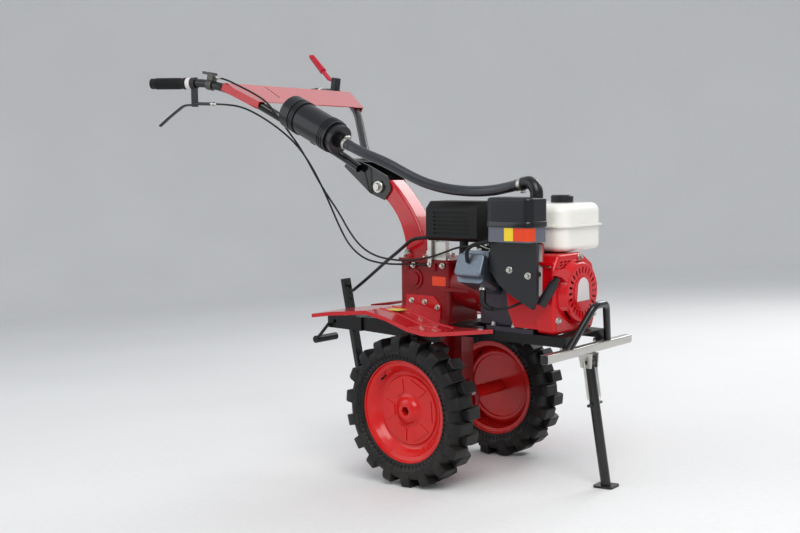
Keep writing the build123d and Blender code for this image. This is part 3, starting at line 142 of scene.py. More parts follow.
def together(*shapes):
    """Adds shapes into one: the face numbers of each move up by the points before it."""
    starts = np.cumsum([0] + [len(points) for points, _ in shapes])
    faces = [array + start for (_, arrays), start in zip(shapes, starts) for array in arrays]
    return np.concatenate([points for points, _ in shapes]), faces


def piece(name, shape, material, sharp=38):
    """A mesh object at the origin, smooth except where its faces meet at more than the sharp angle."""
    points, faces = shape
    mesh = bpy.data.meshes.new(name)
    corners = np.concatenate([array.ravel() for array in faces])
    sizes = np.concatenate([np.full(len(array), array.shape[1]) for array in faces])
    mesh.vertices.add(len(points))
    mesh.vertices.foreach_set("co", points.astype(np.float32).ravel())
    mesh.loops.add(len(corners))
    mesh.loops.foreach_set("vertex_index", corners.astype(np.int32))
    mesh.polygons.add(len(sizes))
    mesh.polygons.foreach_set("loop_start", (np.cumsum(sizes) - sizes).astype(np.int32))
    mesh.polygons.foreach_set("use_smooth", np.ones(len(sizes), bool))
    mesh.update(calc_edges=True)
    mesh.validate()
    mesh.set_sharp_from_angle(angle=math.radians(sharp))
    mesh.materials.append(material)
    thing = bpy.data.objects.new(name, mesh)
    bpy.context.scene.collection.objects.link(thing)
    print(name, "faces", len(sizes))
    return thing


# %% [markdown]
# Three families of shapes cover the rest. A **tube** carries a circle along a path; its two side directions
# come from one fixed upright direction made square to the path, which never twists as long as the path does
# not run along it. A **turned** shape spins a profile of distances and radii about an axis. A **stack** lifts
# an outline off a face in a few rings, the last one drawn in, which gives a plate its bevel.

# %% Tubes, turned shapes and stacks


def unit(vectors):
    """Directions made one long."""
    return vectors / np.linalg.norm(vectors, axis=-1, keepdims=True)


def tube(path, radius, sides, upright=(0.05, 0.1, 1.0)):
    """Circle points path + r (cos a n + sin a b), n the upright made square to the path, and b = t x n."""
    t = unit(np.gradient(path, axis=0))
    up = np.array(upright)
    n = unit(up - (t @ up)[:, None] * t)
    b = np.cross(t, n)
    a = np.linspace(0, 2 * np.pi, sides, endpoint=False)
    r = np.broadcast_to(np.asarray(radius, float), (len(path),))[:, None, None]
    return path[:, None] + r * (np.cos(a)[:, None] * n[:, None] + np.sin(a)[:, None] * b[:, None])


def square_to(axis):
    """Two directions square to an axis and to each other, that make a right-handed set with it."""
    axis = unit(np.array(axis, float))
    helper = np.array([0.0, 0.0, 1.0]) if abs(axis[2]) < 0.9 else np.array([1.0, 0.0, 0.0])
    u = unit(np.cross(helper, axis))
    return u, np.cross(axis, u), axis


def turned(profile, centre, axis, sides):
    """Profile pairs (distance along the axis, radius) spun about it: c + d axis + r (cos a u + sin a v)."""
    u, v, w = square_to(axis)
    d, r = np.array(profile, float).T
    a = np.linspace(0, 2 * np.pi, sides, endpoint=False)
    circle = np.cos(a)[:, None] * u + np.sin(a)[:, None] * v
    return np.array(centre) + d[:, None, None] * w + r[:, None, None] * circle[None]


def spun(profile, place, way, sides):
    """A closed turned shape in the drawing's millimetres, about a direction of the level machine."""
    return capped(turned(np.array(profile, float) / 1000, leaned(place), leaned_direction(way), sides=sides))


def stack(outline, levels, u, v, w):
    """Rings of an outline (columns x, y): s (x u + y v) + h w for each level (height h, size s)."""
    x, y = np.array(outline, float).T
    flat = x[:, None] * u + y[:, None] * v
    h, s = np.array(levels, float).T
    return s[:, None, None] * flat[None] + h[:, None, None] * w


def many(grids):
    """Many copies of one closed grid, as an array (count, rows, columns, 3): faces step on by one copy."""
    count, rows, columns = grids.shape[:3]
    _, faces = capped(grids[0])
    step = (np.arange(count) * rows * columns)[:, None, None]
    return grids.reshape(-1, 3), [(array[None] + step).reshape(-1, array.shape[1]) for array in faces]


print("helpers ready")

# %% [markdown]
# ## Light and ground
# The photograph was taken in open shade, so the light here is broad and soft: one large key light high above
# the camera, a weaker fill from its left, and a back light that draws the tubes' edges. The ground is one
# turned sheet, flat under the machine and rising far away all round, so that no horizon cuts the picture.

# %% Nodes and colours


def tone(red, green, blue):
    """A display colour of 0 to 255 as the linear colour that shaders work in."""
    share = np.array([red, green, blue]) / 255
    linear = np.where(share > 0.04045, ((share + 0.055) / 1.055) ** 2.4, share / 12.92)
    return (*[float(c) for c in linear], 1.0)


def feed(tree, node, inputs):
    """Gives a node its inputs: a socket is linked, and any other is a value."""
    for name, value in inputs.items():
        if isinstance(value, bpy.types.NodeSocket):
            tree.links.new(value, node.inputs[name])
        else:
            node.inputs[name].default_value = value


def add(tree, kind, inputs=None, **settings):
    """One node with its settings and inputs."""
    made = tree.nodes.new(kind)
    for name, value in settings.items():
        setattr(made, name, value)
    feed(tree, made, inputs or {})
    return made


def noise(tree, vector, scale, detail, roughness=0.5):
    """The value of a noise pattern, from 0 to 1."""
    made = add(tree, "ShaderNodeTexNoise", {"Vector": vector, "Scale": scale, "Detail": detail,
                                            "Roughness": roughness})
    return made.outputs["Fac"]


def maths(tree, operation, *values, clamp=False):
    """The result of one step of arithmetic on values or sockets."""
    made = add(tree, "ShaderNodeMath", dict(enumerate(values)), operation=operation, use_clamp=clamp)
    return made.outputs[0]


def ranged(tree, value, low, high, new_low, new_high):
    """A value carried from one range to another, and kept within it."""
    made = add(tree, "ShaderNodeMapRange", {"Value": value, "From Min": low, "From Max": high,
                                            "To Min": new_low, "To Max": new_high})
    return made.outputs["Result"]


def blank_material(name):
    """A material with its Principled shader, and the object coordinates that its patterns read."""
    material = bpy.data.materials.new(name)
    material.use_nodes = True
    tree = material.node_tree
    place = add(tree, "ShaderNodeTexCoord").outputs["Object"]
    return material, tree, tree.nodes["Principled BSDF"], place


print("dark grey", [round(c, 4) for c in tone(40, 40, 40)[:3]])

# %% Ground sheet
FLAT_RADIUS, BEND_RADIUS = 8, 3
ground_finish, tree, shader, place = blank_material("pale_ground")
speckle = noise(tree, place, 60.0, 6.0)
clouds = noise(tree, place, 0.9, 3.0)
shade = ranged(tree, maths(tree, "ADD", speckle, clouds), 0.6, 1.4, 0.70, 0.76)
relief = add(tree, "ShaderNodeBump", {"Height": speckle, "Distance": 0.0006, "Strength": 0.4})
feed(tree, shader, {"Base Color": shade, "Roughness": 0.85, "Normal": relief.outputs["Normal"]})

# The profile's pairs are height and radius, from the middle outwards
bend = np.linspace(0, np.pi / 2, 12)
rise = [(0, 0.0001)] + [(0, r) for r in (2, 5, FLAT_RADIUS)]
rise += [(BEND_RADIUS - BEND_RADIUS * math.cos(a), FLAT_RADIUS + BEND_RADIUS * math.sin(a)) for a in bend[1:]]
rise += [(5.5, FLAT_RADIUS + BEND_RADIUS)]
sheet_points, sheet_faces = grid(turned(rise, (0, 0, 0), (0, 0, 1), sides=96))
sheet_faces = [faces[:, ::-1] for faces in sheet_faces]
ground = piece("ground_sheet", (sheet_points, sheet_faces), ground_finish)

# %% Lights


def soft_light(name, place, size, power, colour=(1, 1, 1)):
    """A square area light aimed at the middle of the machine."""
    data = bpy.data.lights.new(name, "AREA")
    data.size = size
    data.energy = power
    data.color = colour
    lamp = bpy.data.objects.new(name, data)
    bpy.context.scene.collection.objects.link(lamp)
    target = Vector((0.0, 0.0, 0.55))
    lamp.location = place
    lamp.rotation_euler = (target - Vector(place)).to_track_quat("-Z", "Y").to_euler()
    print(name, power, "W")


soft_light("key_light", (2.6, -2.2, 3.4), 2.6, 120.0, (1.0, 0.985, 0.96))
soft_light("fill_light", (-3.0, -3.2, 2.2), 3.2, 40.0, (0.95, 0.98, 1.0))
soft_light("back_light", (0.6, 3.8, 3.2), 2.4, 90.0)
world = bpy.data.worlds.new("soft_sky")
world.use_nodes = True
feed(world.node_tree, world.node_tree.nodes["Background"], {"Color": (0.93, 0.96, 1.0, 1.0), "Strength": 0.7})
bpy.context.scene.world = world
bpy.context.scene.view_settings.view_transform = "Standard"

# %% [markdown]
# ## Shared effects
# Paint, castings and rubber all have the same few small faults, only in other amounts: a tone that drifts
# over the surface, a fine relief, and dust that settles on what faces up and on what is near the ground.
# Each is built once as a node group that puts out colours, values or normals, and every finish below places
# it with its own numbers. The shader itself stays in the material.

# %% Group helper


def new_group(name, inputs, outputs):
    """A shader group with named sockets, the sockets that it is given and the node that takes its results."""
    group = bpy.data.node_groups.new(name, "ShaderNodeTree")
    for label, kind, value in inputs:
        made = group.interface.new_socket(label, in_out="INPUT", socket_type="NodeSocket" + kind)
        if value is not None:
            made.default_value = value
    for label, kind in outputs:
        group.interface.new_socket(label, in_out="OUTPUT", socket_type="NodeSocket" + kind)
    return group, group.nodes.new("NodeGroupInput").outputs, group.nodes.new("NodeGroupOutput")


def use(tree, group, inputs):
    """The outputs of a group that is placed in a material with its own values."""
    return add(tree, "ShaderNodeGroup", inputs, node_tree=group).outputs


# %% Tone drift: the colour times 1 + 4 spread (noise - 0.5)
tone_drift, given, result = new_group(
    "tone_drift", [("Vector", "Vector", None), ("Color", "Color", (1, 1, 1, 1)), ("Spread", "Float", 0.1),
                   ("Size", "Float", 8.0)], [("Color", "Color")])
patches = noise(tone_drift, given["Vector"], given["Size"], 5.0, 0.6)
spread = maths(tone_drift, "MULTIPLY", maths(tone_drift, "SUBTRACT", patches, 0.5), given["Spread"])
factor = maths(tone_drift, "MULTIPLY_ADD", spread, 4.0, 1.0)
toned = add(tone_drift, "ShaderNodeVectorMath", {0: given["Color"], "Scale": factor}, operation="SCALE")
feed(tone_drift, result, {"Color": toned.outputs[0]})

# %% Fine relief: grains and slow waves, each with its own depth in metres
fine_relief, given, result = new_group(
    "fine_relief", [("Vector", "Vector", None), ("Size", "Float", 400.0), ("Depth", "Float", 0.0002),
                    ("Waves", "Float", 60.0), ("Wave depth", "Float", 0.0002)], [("Normal", "Vector")])
grains = noise(fine_relief, given["Vector"], given["Size"], 4.0)
waves = noise(fine_relief, given["Vector"], given["Waves"], 2.0)
fine = maths(fine_relief, "MULTIPLY", grains, given["Depth"])
total = maths(fine_relief, "MULTIPLY_ADD", waves, given["Wave depth"], fine)
bumped = add(fine_relief, "ShaderNodeBump", {"Height": total, "Distance": 1.0, "Strength": 1.0})
feed(fine_relief, result, {"Normal": bumped.outputs["Normal"]})

# %% Settled dust: patches of up to 0.8 within reach of the ground and up to 0.5 where a face looks up
DUST = tone(150, 140, 124)
settled_dust, given, result = new_group(
    "settled_dust", [("Vector", "Vector", None), ("Color", "Color", (1, 1, 1, 1)),
                     ("Roughness", "Float", 0.4), ("Amount", "Float", 0.3), ("Reach", "Float", 0.3)],
    [("Color", "Color"), ("Roughness", "Float")])
axes = add(settled_dust, "ShaderNodeSeparateXYZ", {"Vector": given["Vector"]})
surface = add(settled_dust, "ShaderNodeNewGeometry")
facing = add(settled_dust, "ShaderNodeSeparateXYZ", {"Vector": surface.outputs["Normal"]})
height = maths(settled_dust, "DIVIDE", axes.outputs["Z"], given["Reach"])
near_ground = ranged(settled_dust, height, 1.0, 0.0, 0.0, 0.8)
upward = ranged(settled_dust, facing.outputs["Z"], 0.3, 1.0, 0.0, 0.5)
drifts = ranged(settled_dust, noise(settled_dust, given["Vector"], 26.0, 7.0, 0.65), 0.35, 0.75, 0.0, 1.0)
masked = maths(settled_dust, "MULTIPLY", maths(settled_dust, "ADD", near_ground, upward), drifts)
dusty = maths(settled_dust, "MULTIPLY", masked, given["Amount"], clamp=True)
# Of a colour mix, socket 0 is the factor, 6 and 7 are the two colours, and output 2 is the mixed colour
mixed = add(settled_dust, "ShaderNodeMix", {0: dusty, 6: given["Color"], 7: DUST}, data_type="RGBA")
rougher = ranged(settled_dust, dusty, 0.0, 1.0, given["Roughness"], 0.9)
feed(settled_dust, result, {"Color": mixed.outputs[2], "Roughness": rougher})
print("groups", [g.name for g in bpy.data.node_groups])

# %% [markdown]
# ## Paint and metal
# Sprayed steel has a slight orange peel under a clear, glossy skin; a sand casting keeps the coarse grain of
# its mould below the same paint, which is drawn darker on the gearbox as painted shade. Bare zinc-plated steel
# is a metal with fine brushing in its roughness. One function joins the three effects, and one for each kind
# gives it that kind's numbers and skin.

# %% Kinds of finish
finish = {}


def finished(name, colour, roughness, drift, patches, dust, reach, relief, skin, stretch=None):
    """A finish of the three effects; relief is grain scale and depth, wave scale and depth, skin the rest."""
    material, tree, shader, place = blank_material(name)
    drawn = place
    if stretch:
        drawn = add(tree, "ShaderNodeMapping", {"Vector": place, "Scale": stretch}).outputs[0]
        roughness = ranged(tree, noise(tree, drawn, 260.0, 5.0), 0.0, 1.0, roughness - 0.1, roughness + 0.16)
    shades = use(tree, tone_drift, {"Vector": drawn, "Color": tone(*colour), "Spread": drift,
                                    "Size": patches})
    dusty = use(tree, settled_dust, {"Vector": place, "Color": shades["Color"], "Roughness": roughness,
                                     "Amount": dust, "Reach": reach})
    size, depth, waves, wave_depth = relief
    bumps = use(tree, fine_relief, {"Vector": drawn, "Size": size, "Depth": depth, "Waves": waves,
                                    "Wave depth": wave_depth})
    feed(tree, shader, {"Base Color": dusty["Color"], "Roughness": dusty["Roughness"],
                        "Normal": bumps["Normal"], **skin})
    finish[name] = material


def painted(name, colour, roughness=0.3, coat=0.3, peel=0.00012, grain=0.00001, drift=0.05, dust=0.08,
            reach=0.35, coat_ior=1.5):
    """Paint with orange peel (waves 9 mm wide), a fine grain, a drifting tone, dust and a clear coat."""
    skin = {"Specular IOR Level": 0.25, "Coat Weight": coat, "Coat Roughness": 0.06, "Coat IOR": coat_ior}
    finished(name, colour, roughness, drift, 6.0, dust, reach, (700.0, grain, 110.0, peel), skin)


def brushed_metal(name, colour, roughness, stretch=(1.0, 1.0, 1.0), depth=0.00002):
    """Bare metal: noise drawn out along one axis by the stretch gives the brushing in tone and roughness."""
    finished(name, colour, roughness, 0.12, 60.0, 0.2, 0.3, (500.0, depth, 90.0, depth), {"Metallic": 1.0},
             stretch)


def moulded(name, colour, roughness, grain=900.0, depth=0.00004, waves=0.00005, drift=0.15, dust=0.08,
            specular=0.3):
    """Moulded plastic or rubber: a fine spark-eroded grain, slow waves from the mould, and dust."""
    finished(name, colour, roughness, drift, 14.0, dust, 0.4, (grain, depth, 45.0, waves),
             {"Specular IOR Level": specular})


# %% Finishes
painted("gloss_red", (180, 4, 18), roughness=0.22, coat=0.7)
painted("panel_red", (188, 6, 20), roughness=0.2, coat=1.0, coat_ior=2.3)
# The gearbox wears the same red as the other painted parts; this finish is darker as painted shade, and its
# coarser grain and peel are the casting's own
painted("cast_red", (122, 2, 9), roughness=0.34, coat=0.18, peel=0.0005, grain=0.00006, drift=0.08)
painted("fan_red", (192, 6, 18), roughness=0.26)
painted("rim_red", (198, 10, 12), roughness=0.24, dust=0.12, reach=0.45)
painted("gloss_black", (10, 10, 12), roughness=0.24, coat=0.5, peel=0.0001, drift=0.2)
painted("satin_black", (12, 12, 14), roughness=0.4, coat=0.06, drift=0.2)
painted("tank_cream", (236, 235, 228), coat=0.5, drift=0.02)
painted("guard_black", (8, 8, 9), roughness=0.45, coat=0.05, peel=0.0002, drift=0.25)
brushed_metal("cast_alloy", (118, 127, 138), roughness=0.42, depth=0.00018)
brushed_metal("plated_steel", (200, 198, 192), roughness=0.3, stretch=(1.0, 0.12, 1.0))
brushed_metal("shaft_steel", (96, 94, 92), roughness=0.4, stretch=(1.0, 0.1, 1.0))
brushed_metal("dark_iron", (72, 69, 76), roughness=0.5, depth=0.00022)
moulded("shroud_plastic", (24, 25, 29), roughness=0.34, specular=0.42)
moulded("cover_plastic", (15, 16, 21), roughness=0.28, specular=0.4)
moulded("band_grey", (92, 95, 106), roughness=0.42)
moulded("hose_rubber", (34, 37, 44), roughness=0.3, waves=0.00012, specular=0.6)
moulded("grip_rubber", (13, 14, 17), roughness=0.55, depth=0.00008)
moulded("sheath_black", (12, 12, 14), roughness=0.4)
moulded("tyre_rubber", (9, 9, 11), roughness=0.5, grain=520.0, depth=0.00012, waves=0.0003, drift=0.25,
        dust=0.1)
moulded("lever_red", (170, 20, 44), roughness=0.35, depth=0.00002)
for word, colour, roughness, drift in (("yellow", (226, 196, 40), 0.35, 0.06),
                                       ("orange", (214, 66, 30), 0.35, 0.06),
                                       ("pale", (214, 206, 206), 0.32, 0.04)):
    moulded("sticker_" + word, colour, roughness=roughness, depth=0.00001, drift=drift, waves=0.00001)
print("finishes", len(finish))

# %% [markdown]
# ## Dressing the frame
# A CAD node keeps its mesh; only the material in its slots is changed. The table gives each finish the nodes
# that wear it on the real machine, and the last line checks that no node is left plain.

# %% Finishes for the nodes
worn_by = {
    "gloss_red": ["fenders", "handle_column"],
    "panel_red": ["handle_panel"],
    "cast_red": ["gearbox"],
    "fan_red": ["fan_cover", "recoil_cover"],
    "rim_red": ["left_rim", "right_rim"],
    "gloss_black": ["handlebars", "handle_bracket", "front_bumper", "front_stand", "depth_bar"],
    "satin_black": ["engine_frame", "rear_hitch", "hitch_lever", "gear_lever", "precleaner_strap"],
    "tank_cream": ["fuel_tank"],
    "guard_black": ["muffler"],
    "cast_alloy": ["valve_cover", "cylinder"],
    "plated_steel": ["front_crossbar", "clutch_arm", "stand_springs", "cable_clip"],
    "shaft_steel": ["output_shaft", "throttle_control"],
    "dark_iron": ["engine_block", "carburettor"],
    "shroud_plastic": ["side_shroud", "right_lever_clamp", "left_lever_clamp", "right_lever", "fuel_cap",
                       "recoil_grip"],
    "lever_red": ["left_lever"],
    "cover_plastic": ["air_cleaner_cover", "air_precleaner"],
    "band_grey": ["air_cleaner_base"],
    "grip_rubber": ["grips"],
    "hose_rubber": ["air_hose"],
    "sheath_black": ["clutch_cable", "throttle_cable"],
    "tyre_rubber": ["left_tyre", "right_tyre"],
}


def wear(node, material):
    """Puts one material in every slot of a node."""
    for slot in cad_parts[node].material_slots:
        slot.material = material


for word, nodes in worn_by.items():
    for node in nodes:
        wear(node, finish[word])
left_plain = set(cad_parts) - {node for nodes in worn_by.values() for node in nodes}
print("nodes left plain", left_plain)

# %% [markdown]
# ## Hose and cables
# The air hose is a stiff moulded tube, and the two control cables are wire in a thin sheath: each lies on
# one smooth curve. A NURBS spline with the drawing's route points as its control points gives that curve, and
# a mesh tube follows the points read back from it. Each runs from the handlebars to the machine.

# %% Read a route's smooth line


def smooth_line(name, route):
    """Points along the NURBS spline of order 3 whose control points are the leaned route."""
    curve = bpy.data.curves.new(name, "CURVE")
    curve.dimensions = "3D"
    spline = curve.splines.new("NURBS")
    spline.points.add(len(route) - 1)
    control = np.concatenate([leaned(route), np.ones((len(route), 1))], axis=1)
    spline.points.foreach_set("co", control.ravel())
    spline.order_u = 3
    spline.use_endpoint_u = True
    spline.resolution_u = 12
    holder = bpy.data.objects.new(name, curve)
    mesh = bpy.data.meshes.new_from_object(holder)
    line = np.empty(len(mesh.vertices) * 3)
    mesh.vertices.foreach_get("co", line)
    bpy.data.objects.remove(holder)
    bpy.data.curves.remove(curve)
    bpy.data.meshes.remove(mesh)
    line = line.reshape(-1, 3)
    steps = np.linalg.norm(np.diff(line, axis=0), axis=1)
    line = line[np.concatenate([[True], steps > 1e-6])]
    print(name, "length", round(float(steps.sum()), 3), "m,", len(line), "points")
    return line


hose_route = [(-258.2, -182, 936.1), (-198.1, -182, 908.8), (-116, -160, 877), (-60, -145, 846),
              (-6, -130, 820), (56, -112, 803), (125, -100, 796), (195, -98, 798), (258.8, -109.2, 807.2),
              (318, -124, 818)]
clutch_route = [(-718.1, -284, 1062.7), (-656.2, -284, 1059), (-597, -262, 1049), (-542, -235, 1018),
                (-488, -207, 976), (-440, -188, 930), (-408, -168, 875), (-386, -148, 815), (-368, -128, 752),
                (-352, -110, 692), (-325, -97, 635), (-275, -90, 598), (-215, -87, 587), (-154, -86, 586),
                (-94, -85, 590), (-34, -85, 590)]
throttle_route = [(-720.3, -264.1, 1145.7), (-680.4, -254.9, 1136.6), (-636, -250, 1117), (-592, -234, 1095),
                  (-549, -212, 1066), (-525, -197, 1030), (-490, -177, 973), (-456, -163, 925),
                  (-427, -153, 874), (-402, -143, 826), (-376, -130, 780), (-344, -116, 730),
                  (-314, -106, 676), (-276, -98, 632), (-226, -93, 608), (-170, -92, 600), (-112, -92, 599),
                  (-56, -92, 606), (-2, -95, 617), (52, -106, 633), (108, -132, 648), (168, -140, 656),
                  (228, -140, 656)]

# %% Air hose
HOSE_R, CUFF_RISE, CUFF_LENGTH, CUFF_STEP = 0.0142, 0.0012, 0.032, 0.003
RIB_HEIGHT, RIB_PITCH = 0.00015, 0.007


def along_line(line):
    """How far along a line each of its points is, in metres."""
    return np.concatenate([[0.0], np.cumsum(np.linalg.norm(np.diff(line, axis=0), axis=1))])


def points_at(line, at, where):
    """The points of a line at other places along it, when its own points stand at the places given."""
    return np.stack([np.interp(where, at, line[:, k]) for k in range(3)], axis=1)


hose_line = smooth_line("hose_line", hose_route)
reach = along_line(hose_line)
even = np.linspace(0, reach[-1], 220)
from_end = np.minimum(even, reach[-1] - even)
cuff = CUFF_RISE * np.clip((CUFF_LENGTH - from_end) / CUFF_STEP, 0, 1)
hose_radius = HOSE_R + cuff + RIB_HEIGHT * np.sin(even * 2 * np.pi / RIB_PITCH) * (cuff == 0)
hose = piece("air_hose_rubber", capped(tube(points_at(hose_line, reach, even), hose_radius, sides=32)),
             finish["hose_rubber"], sharp=60)
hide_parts("air_hose")
tuple(leaned([-198.1, -182, 908.8]))
tuple(leaned([258.8, -109.2, 807.2]))
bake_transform(hose)

# %% Control cables
SHEATH_R, FERRULE_RISE, FERRULE_LENGTH, FERRULE_STEP = 0.0028, 0.0006, 0.030, 0.002
for name, route, first, last in (("clutch_cable", clutch_route, (-597, -262, 1049), (-325, -97, 635)),
                                 ("throttle_cable", throttle_route, (-490, -177, 973), (-276, -98, 632))):
    line = smooth_line(name + "_line", route)
    reach = along_line(line)
    ferrule = np.clip((FERRULE_LENGTH - np.minimum(reach, reach[-1] - reach)) / FERRULE_STEP, 0, 1)
    sheath = piece(name + "_sheath", capped(tube(line, SHEATH_R + FERRULE_RISE * ferrule, sides=14)),
                   finish["sheath_black"], sharp=60)
    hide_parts(name)
    tuple(leaned(first))
    tuple(leaned(last))
    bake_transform(sheath)

# %% [markdown]
# ## Tyres
# A tiller's tyre is one vulcanised piece: a round carcass, a bead with a ring of small notches beside the
# rim, and eighteen block lugs over each shoulder that bite into soft ground. The CAD tyre has flat facets to
# stay light, so a finer one takes its place: a profile turned about the axle, and one lug shape set round it.

# %% Tyre shapes
TRACK = 406.0
LUG_PAIRS = 18
NOTCHES, NOTCH_STEPS, NOTCH_DEPTH = 72, 6, 3.0
NOTCH_FROM_R, NOTCH_TO_R = 145, 154
LUG_BEVEL, LUG_BEVEL_TURN, LUG_EDGE_TURN = 2.2, 0.35, 0.25
CROWN_FROM_R = 200


def carcass(middle):
    """A closed profile turned about the axle; beside the rim a ring of notches presses the sidewall in."""
    side = [(35, 140.3), (38.5, 142), (40, 144.5), (40.6, 146), (40.9, 150), (41.6, 153), (44.5, 157),
            (47, 163), (47.6, 169), (46.5, 175), (43, 181), (36, 184.6), (22, 186), (0, 186.4)]
    right_side = [(-x, r) for x, r in reversed(side[:-1])]
    profile = np.array(side + right_side + [(-30, 139.6), (0, 139.4), (30, 139.6)], float)
    turns = np.linspace(0, 2 * np.pi, NOTCHES * NOTCH_STEPS, endpoint=False)
    beside_rim = (profile[:, 1] > NOTCH_FROM_R) & (profile[:, 1] < NOTCH_TO_R)
    notch = (np.arange(NOTCHES * NOTCH_STEPS) % NOTCH_STEPS < NOTCH_STEPS / 2) * beside_rim[:, None]
    y = np.sign(profile[:, :1]) * (np.abs(profile[:, :1]) - NOTCH_DEPTH * notch)
    r = profile[:, 1:] * np.ones_like(turns)
    points = np.stack([r * np.cos(turns), middle + y, AXLE_Z + r * np.sin(turns)], axis=-1)
    return grid(stood(points), wrap_rows=True)


def lugs(middle, shoulder, turn):
    """Lug rows run out along the tread and down the shoulder: each is six corners, base, bevel and crown."""
    #        out    base r  crown r  half angle at the base and at the crown, in degrees
    rows = [(-11.0, 182.0, 190.0, 3.6, 2.9), (-9.0, 182.0, 203.6, 4.4, 3.7), (-7.0, 182.0, 205.0, 4.6, 3.9),
            (30.0, 180.0, 205.0, 4.9, 4.1), (41.0, 176.0, 203.8, 5.1, 4.2), (45.5, 172.0, 198.0, 5.2, 4.2),
            (47.6, 166.0, 186.0, 5.3, 4.2), (48.0, 160.0, 172.0, 5.3, 4.2), (46.0, 158.0, 165.0, 5.0, 4.0)]
    out, base, crown, base_half, crown_half = np.array(rows).T
    r = np.stack([base, crown - LUG_BEVEL, crown, crown, crown - LUG_BEVEL, base], axis=1)
    a = np.stack([-base_half, -crown_half - LUG_EDGE_TURN, -crown_half + LUG_BEVEL_TURN,
                  crown_half - LUG_BEVEL_TURN, crown_half + LUG_EDGE_TURN, base_half], axis=1)
    middles = np.radians(90 + turn + np.arange(LUG_PAIRS) * 360 / LUG_PAIRS)
    angle = middles[:, None, None] + np.radians(a)[None]
    # A crown is flat across the lug, so its radius grows towards the corners
    flat = r / np.cos(np.radians(a))
    flat = np.where(r > CROWN_FROM_R, flat, r)[None] * np.ones_like(angle)
    y = middle + shoulder * out[None, :, None] * np.ones_like(angle)
    points = np.stack([flat * np.cos(angle), y, AXLE_Z + flat * np.sin(angle)], axis=-1)
    if shoulder > 0:
        points = points[:, :, ::-1]
    return many(stood(points))


for word, sign in (("left", 1), ("right", -1)):
    middle = sign * TRACK / 2
    outer = lugs(middle, sign, 0)
    inner = lugs(middle, -sign, 180 / LUG_PAIRS)
    rubber = piece(word + "_tyre_rubber", together(carcass(middle), outer, inner), finish["tyre_rubber"],
                   sharp=32)
    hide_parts(word + "_tyre")
    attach(rubber, "wheel_set")

# %% [markdown]
# ## Stand springs
# Two extension springs pull the stand up or down past its pivot. Each is a wire wound close on a helix, so a
# helix is the path and a thin tube follows it. They run between the machine and the stand, to which the
# lower ends are hooked.

# %% Wind the springs
SPRING_Y, COILS, COIL_R, WIRE_R = 28.0, 44, 3.0, 0.85
STEPS_PER_COIL = 14
HOOK_SHARE, HOOK_R_SHARE = 0.05, 0.12
STRAIGHT_SHARE = 0.08
hook, pin_end = np.array([443.9, 0, 347.1]), np.array([453.4, 0, 218.6])


def coil(top, foot):
    """Helix top + s (foot - top) + r (cos a u + sin a v), its radius run down to the hooks at both ends."""
    s = np.linspace(0.0, 1.0, COILS * STEPS_PER_COIL)
    u, v, _ = square_to(foot - top)
    ends = np.clip(np.minimum(s, 1 - s) / HOOK_SHARE, HOOK_R_SHARE, 1)
    a = 2 * np.pi * COILS * np.clip((s - STRAIGHT_SHARE) / (1 - 2 * STRAIGHT_SHARE), 0, 1)
    path = top + s[:, None] * (foot - top)
    path = path + (COIL_R * ends)[:, None] * (np.cos(a)[:, None] * u + np.sin(a)[:, None] * v)
    return capped(tube(stood(path), WIRE_R / 1000, sides=8, upright=tuple(u)))


coils = [coil(hook + offset, pin_end + offset) for offset in np.array([[0, -SPRING_Y, 0], [0, SPRING_Y, 0]])]
springs = piece("stand_spring_coils", together(*coils), finish["plated_steel"], sharp=60)
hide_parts("stand_springs")
tuple(stood(hook))
tuple(stood(pin_end))
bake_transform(springs)

# %% [markdown]
# ## Bolts
# Screws and nuts show a machine's scale. A hexagon head is an outline of six corners lifted off its washer
# in a few rings, and a whole row of heads is one array and one mesh. The tables give the place where a head
# sits and the way it faces; its width is measured across the corners.

# %% Bolt heads
WASHER = 1.5
STEEL = ("plated_steel", "silver_steel")


def fitted(name, shape, paint, slot, body="chassis", sharp=38):
    """A piece in one of the finishes, which moves with the body that it is fixed to."""
    made = piece(name, shape, finish[paint], sharp)
    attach(made, body)


def hexagon_heads(table, width, height=0.62):
    """Washer rings then hexagon rings of each head, all as one array: place + s (x u + y v) + h w."""
    a = np.radians(np.arange(24) * 15)
    circle = np.stack([np.cos(a), np.sin(a)], axis=1)
    corner = 1 / np.cos(((a + np.pi / 6) % (np.pi / 3)) - np.pi / 6)
    hexagon = circle * corner[:, None] * math.cos(math.pi / 6)
    # Each ring's outline and height, as shares of the width
    rings = [(circle * WASHER, -0.12), (circle * WASHER, 0.14), (circle * (WASHER - 0.1), 0.2),
             (hexagon, 0.2), (hexagon, height), (circle * 0.86, height + 0.13), (circle * 0.5, height + 0.13)]
    flat = np.array([ring for ring, _ in rings]) * width / 2
    rise = np.array([h for _, h in rings]) * width
    place = leaned([spot for spot, _ in table])
    u, v, w = np.array([square_to(leaned_direction(way)) for _, way in table]).transpose(1, 0, 2)
    across = flat[None, ..., :1] / 1000 * u[:, None, None]
    along = flat[None, ..., 1:] / 1000 * v[:, None, None]
    return many(place[:, None, None] + across + along + rise[None, :, None, None] / 1000 * w[:, None, None])


# %% Bolts of each body
RIGHT, LEFT, UP, FRONT, BACK = (0, -1, 0), (0, 1, 0), (0, 0, 1), (1, 0, 0), (-1, 0, 0)
BELL_BOLTS_R, HOUSING_BOLTS_R = 79, 62


def both_sides(y, spots):
    """Places (x, z) on the right and the left face that stand y from the middle, facing out."""
    return [((x, s * y, z), way) for s, way in ((-1, RIGHT), (1, LEFT)) for x, z in spots]


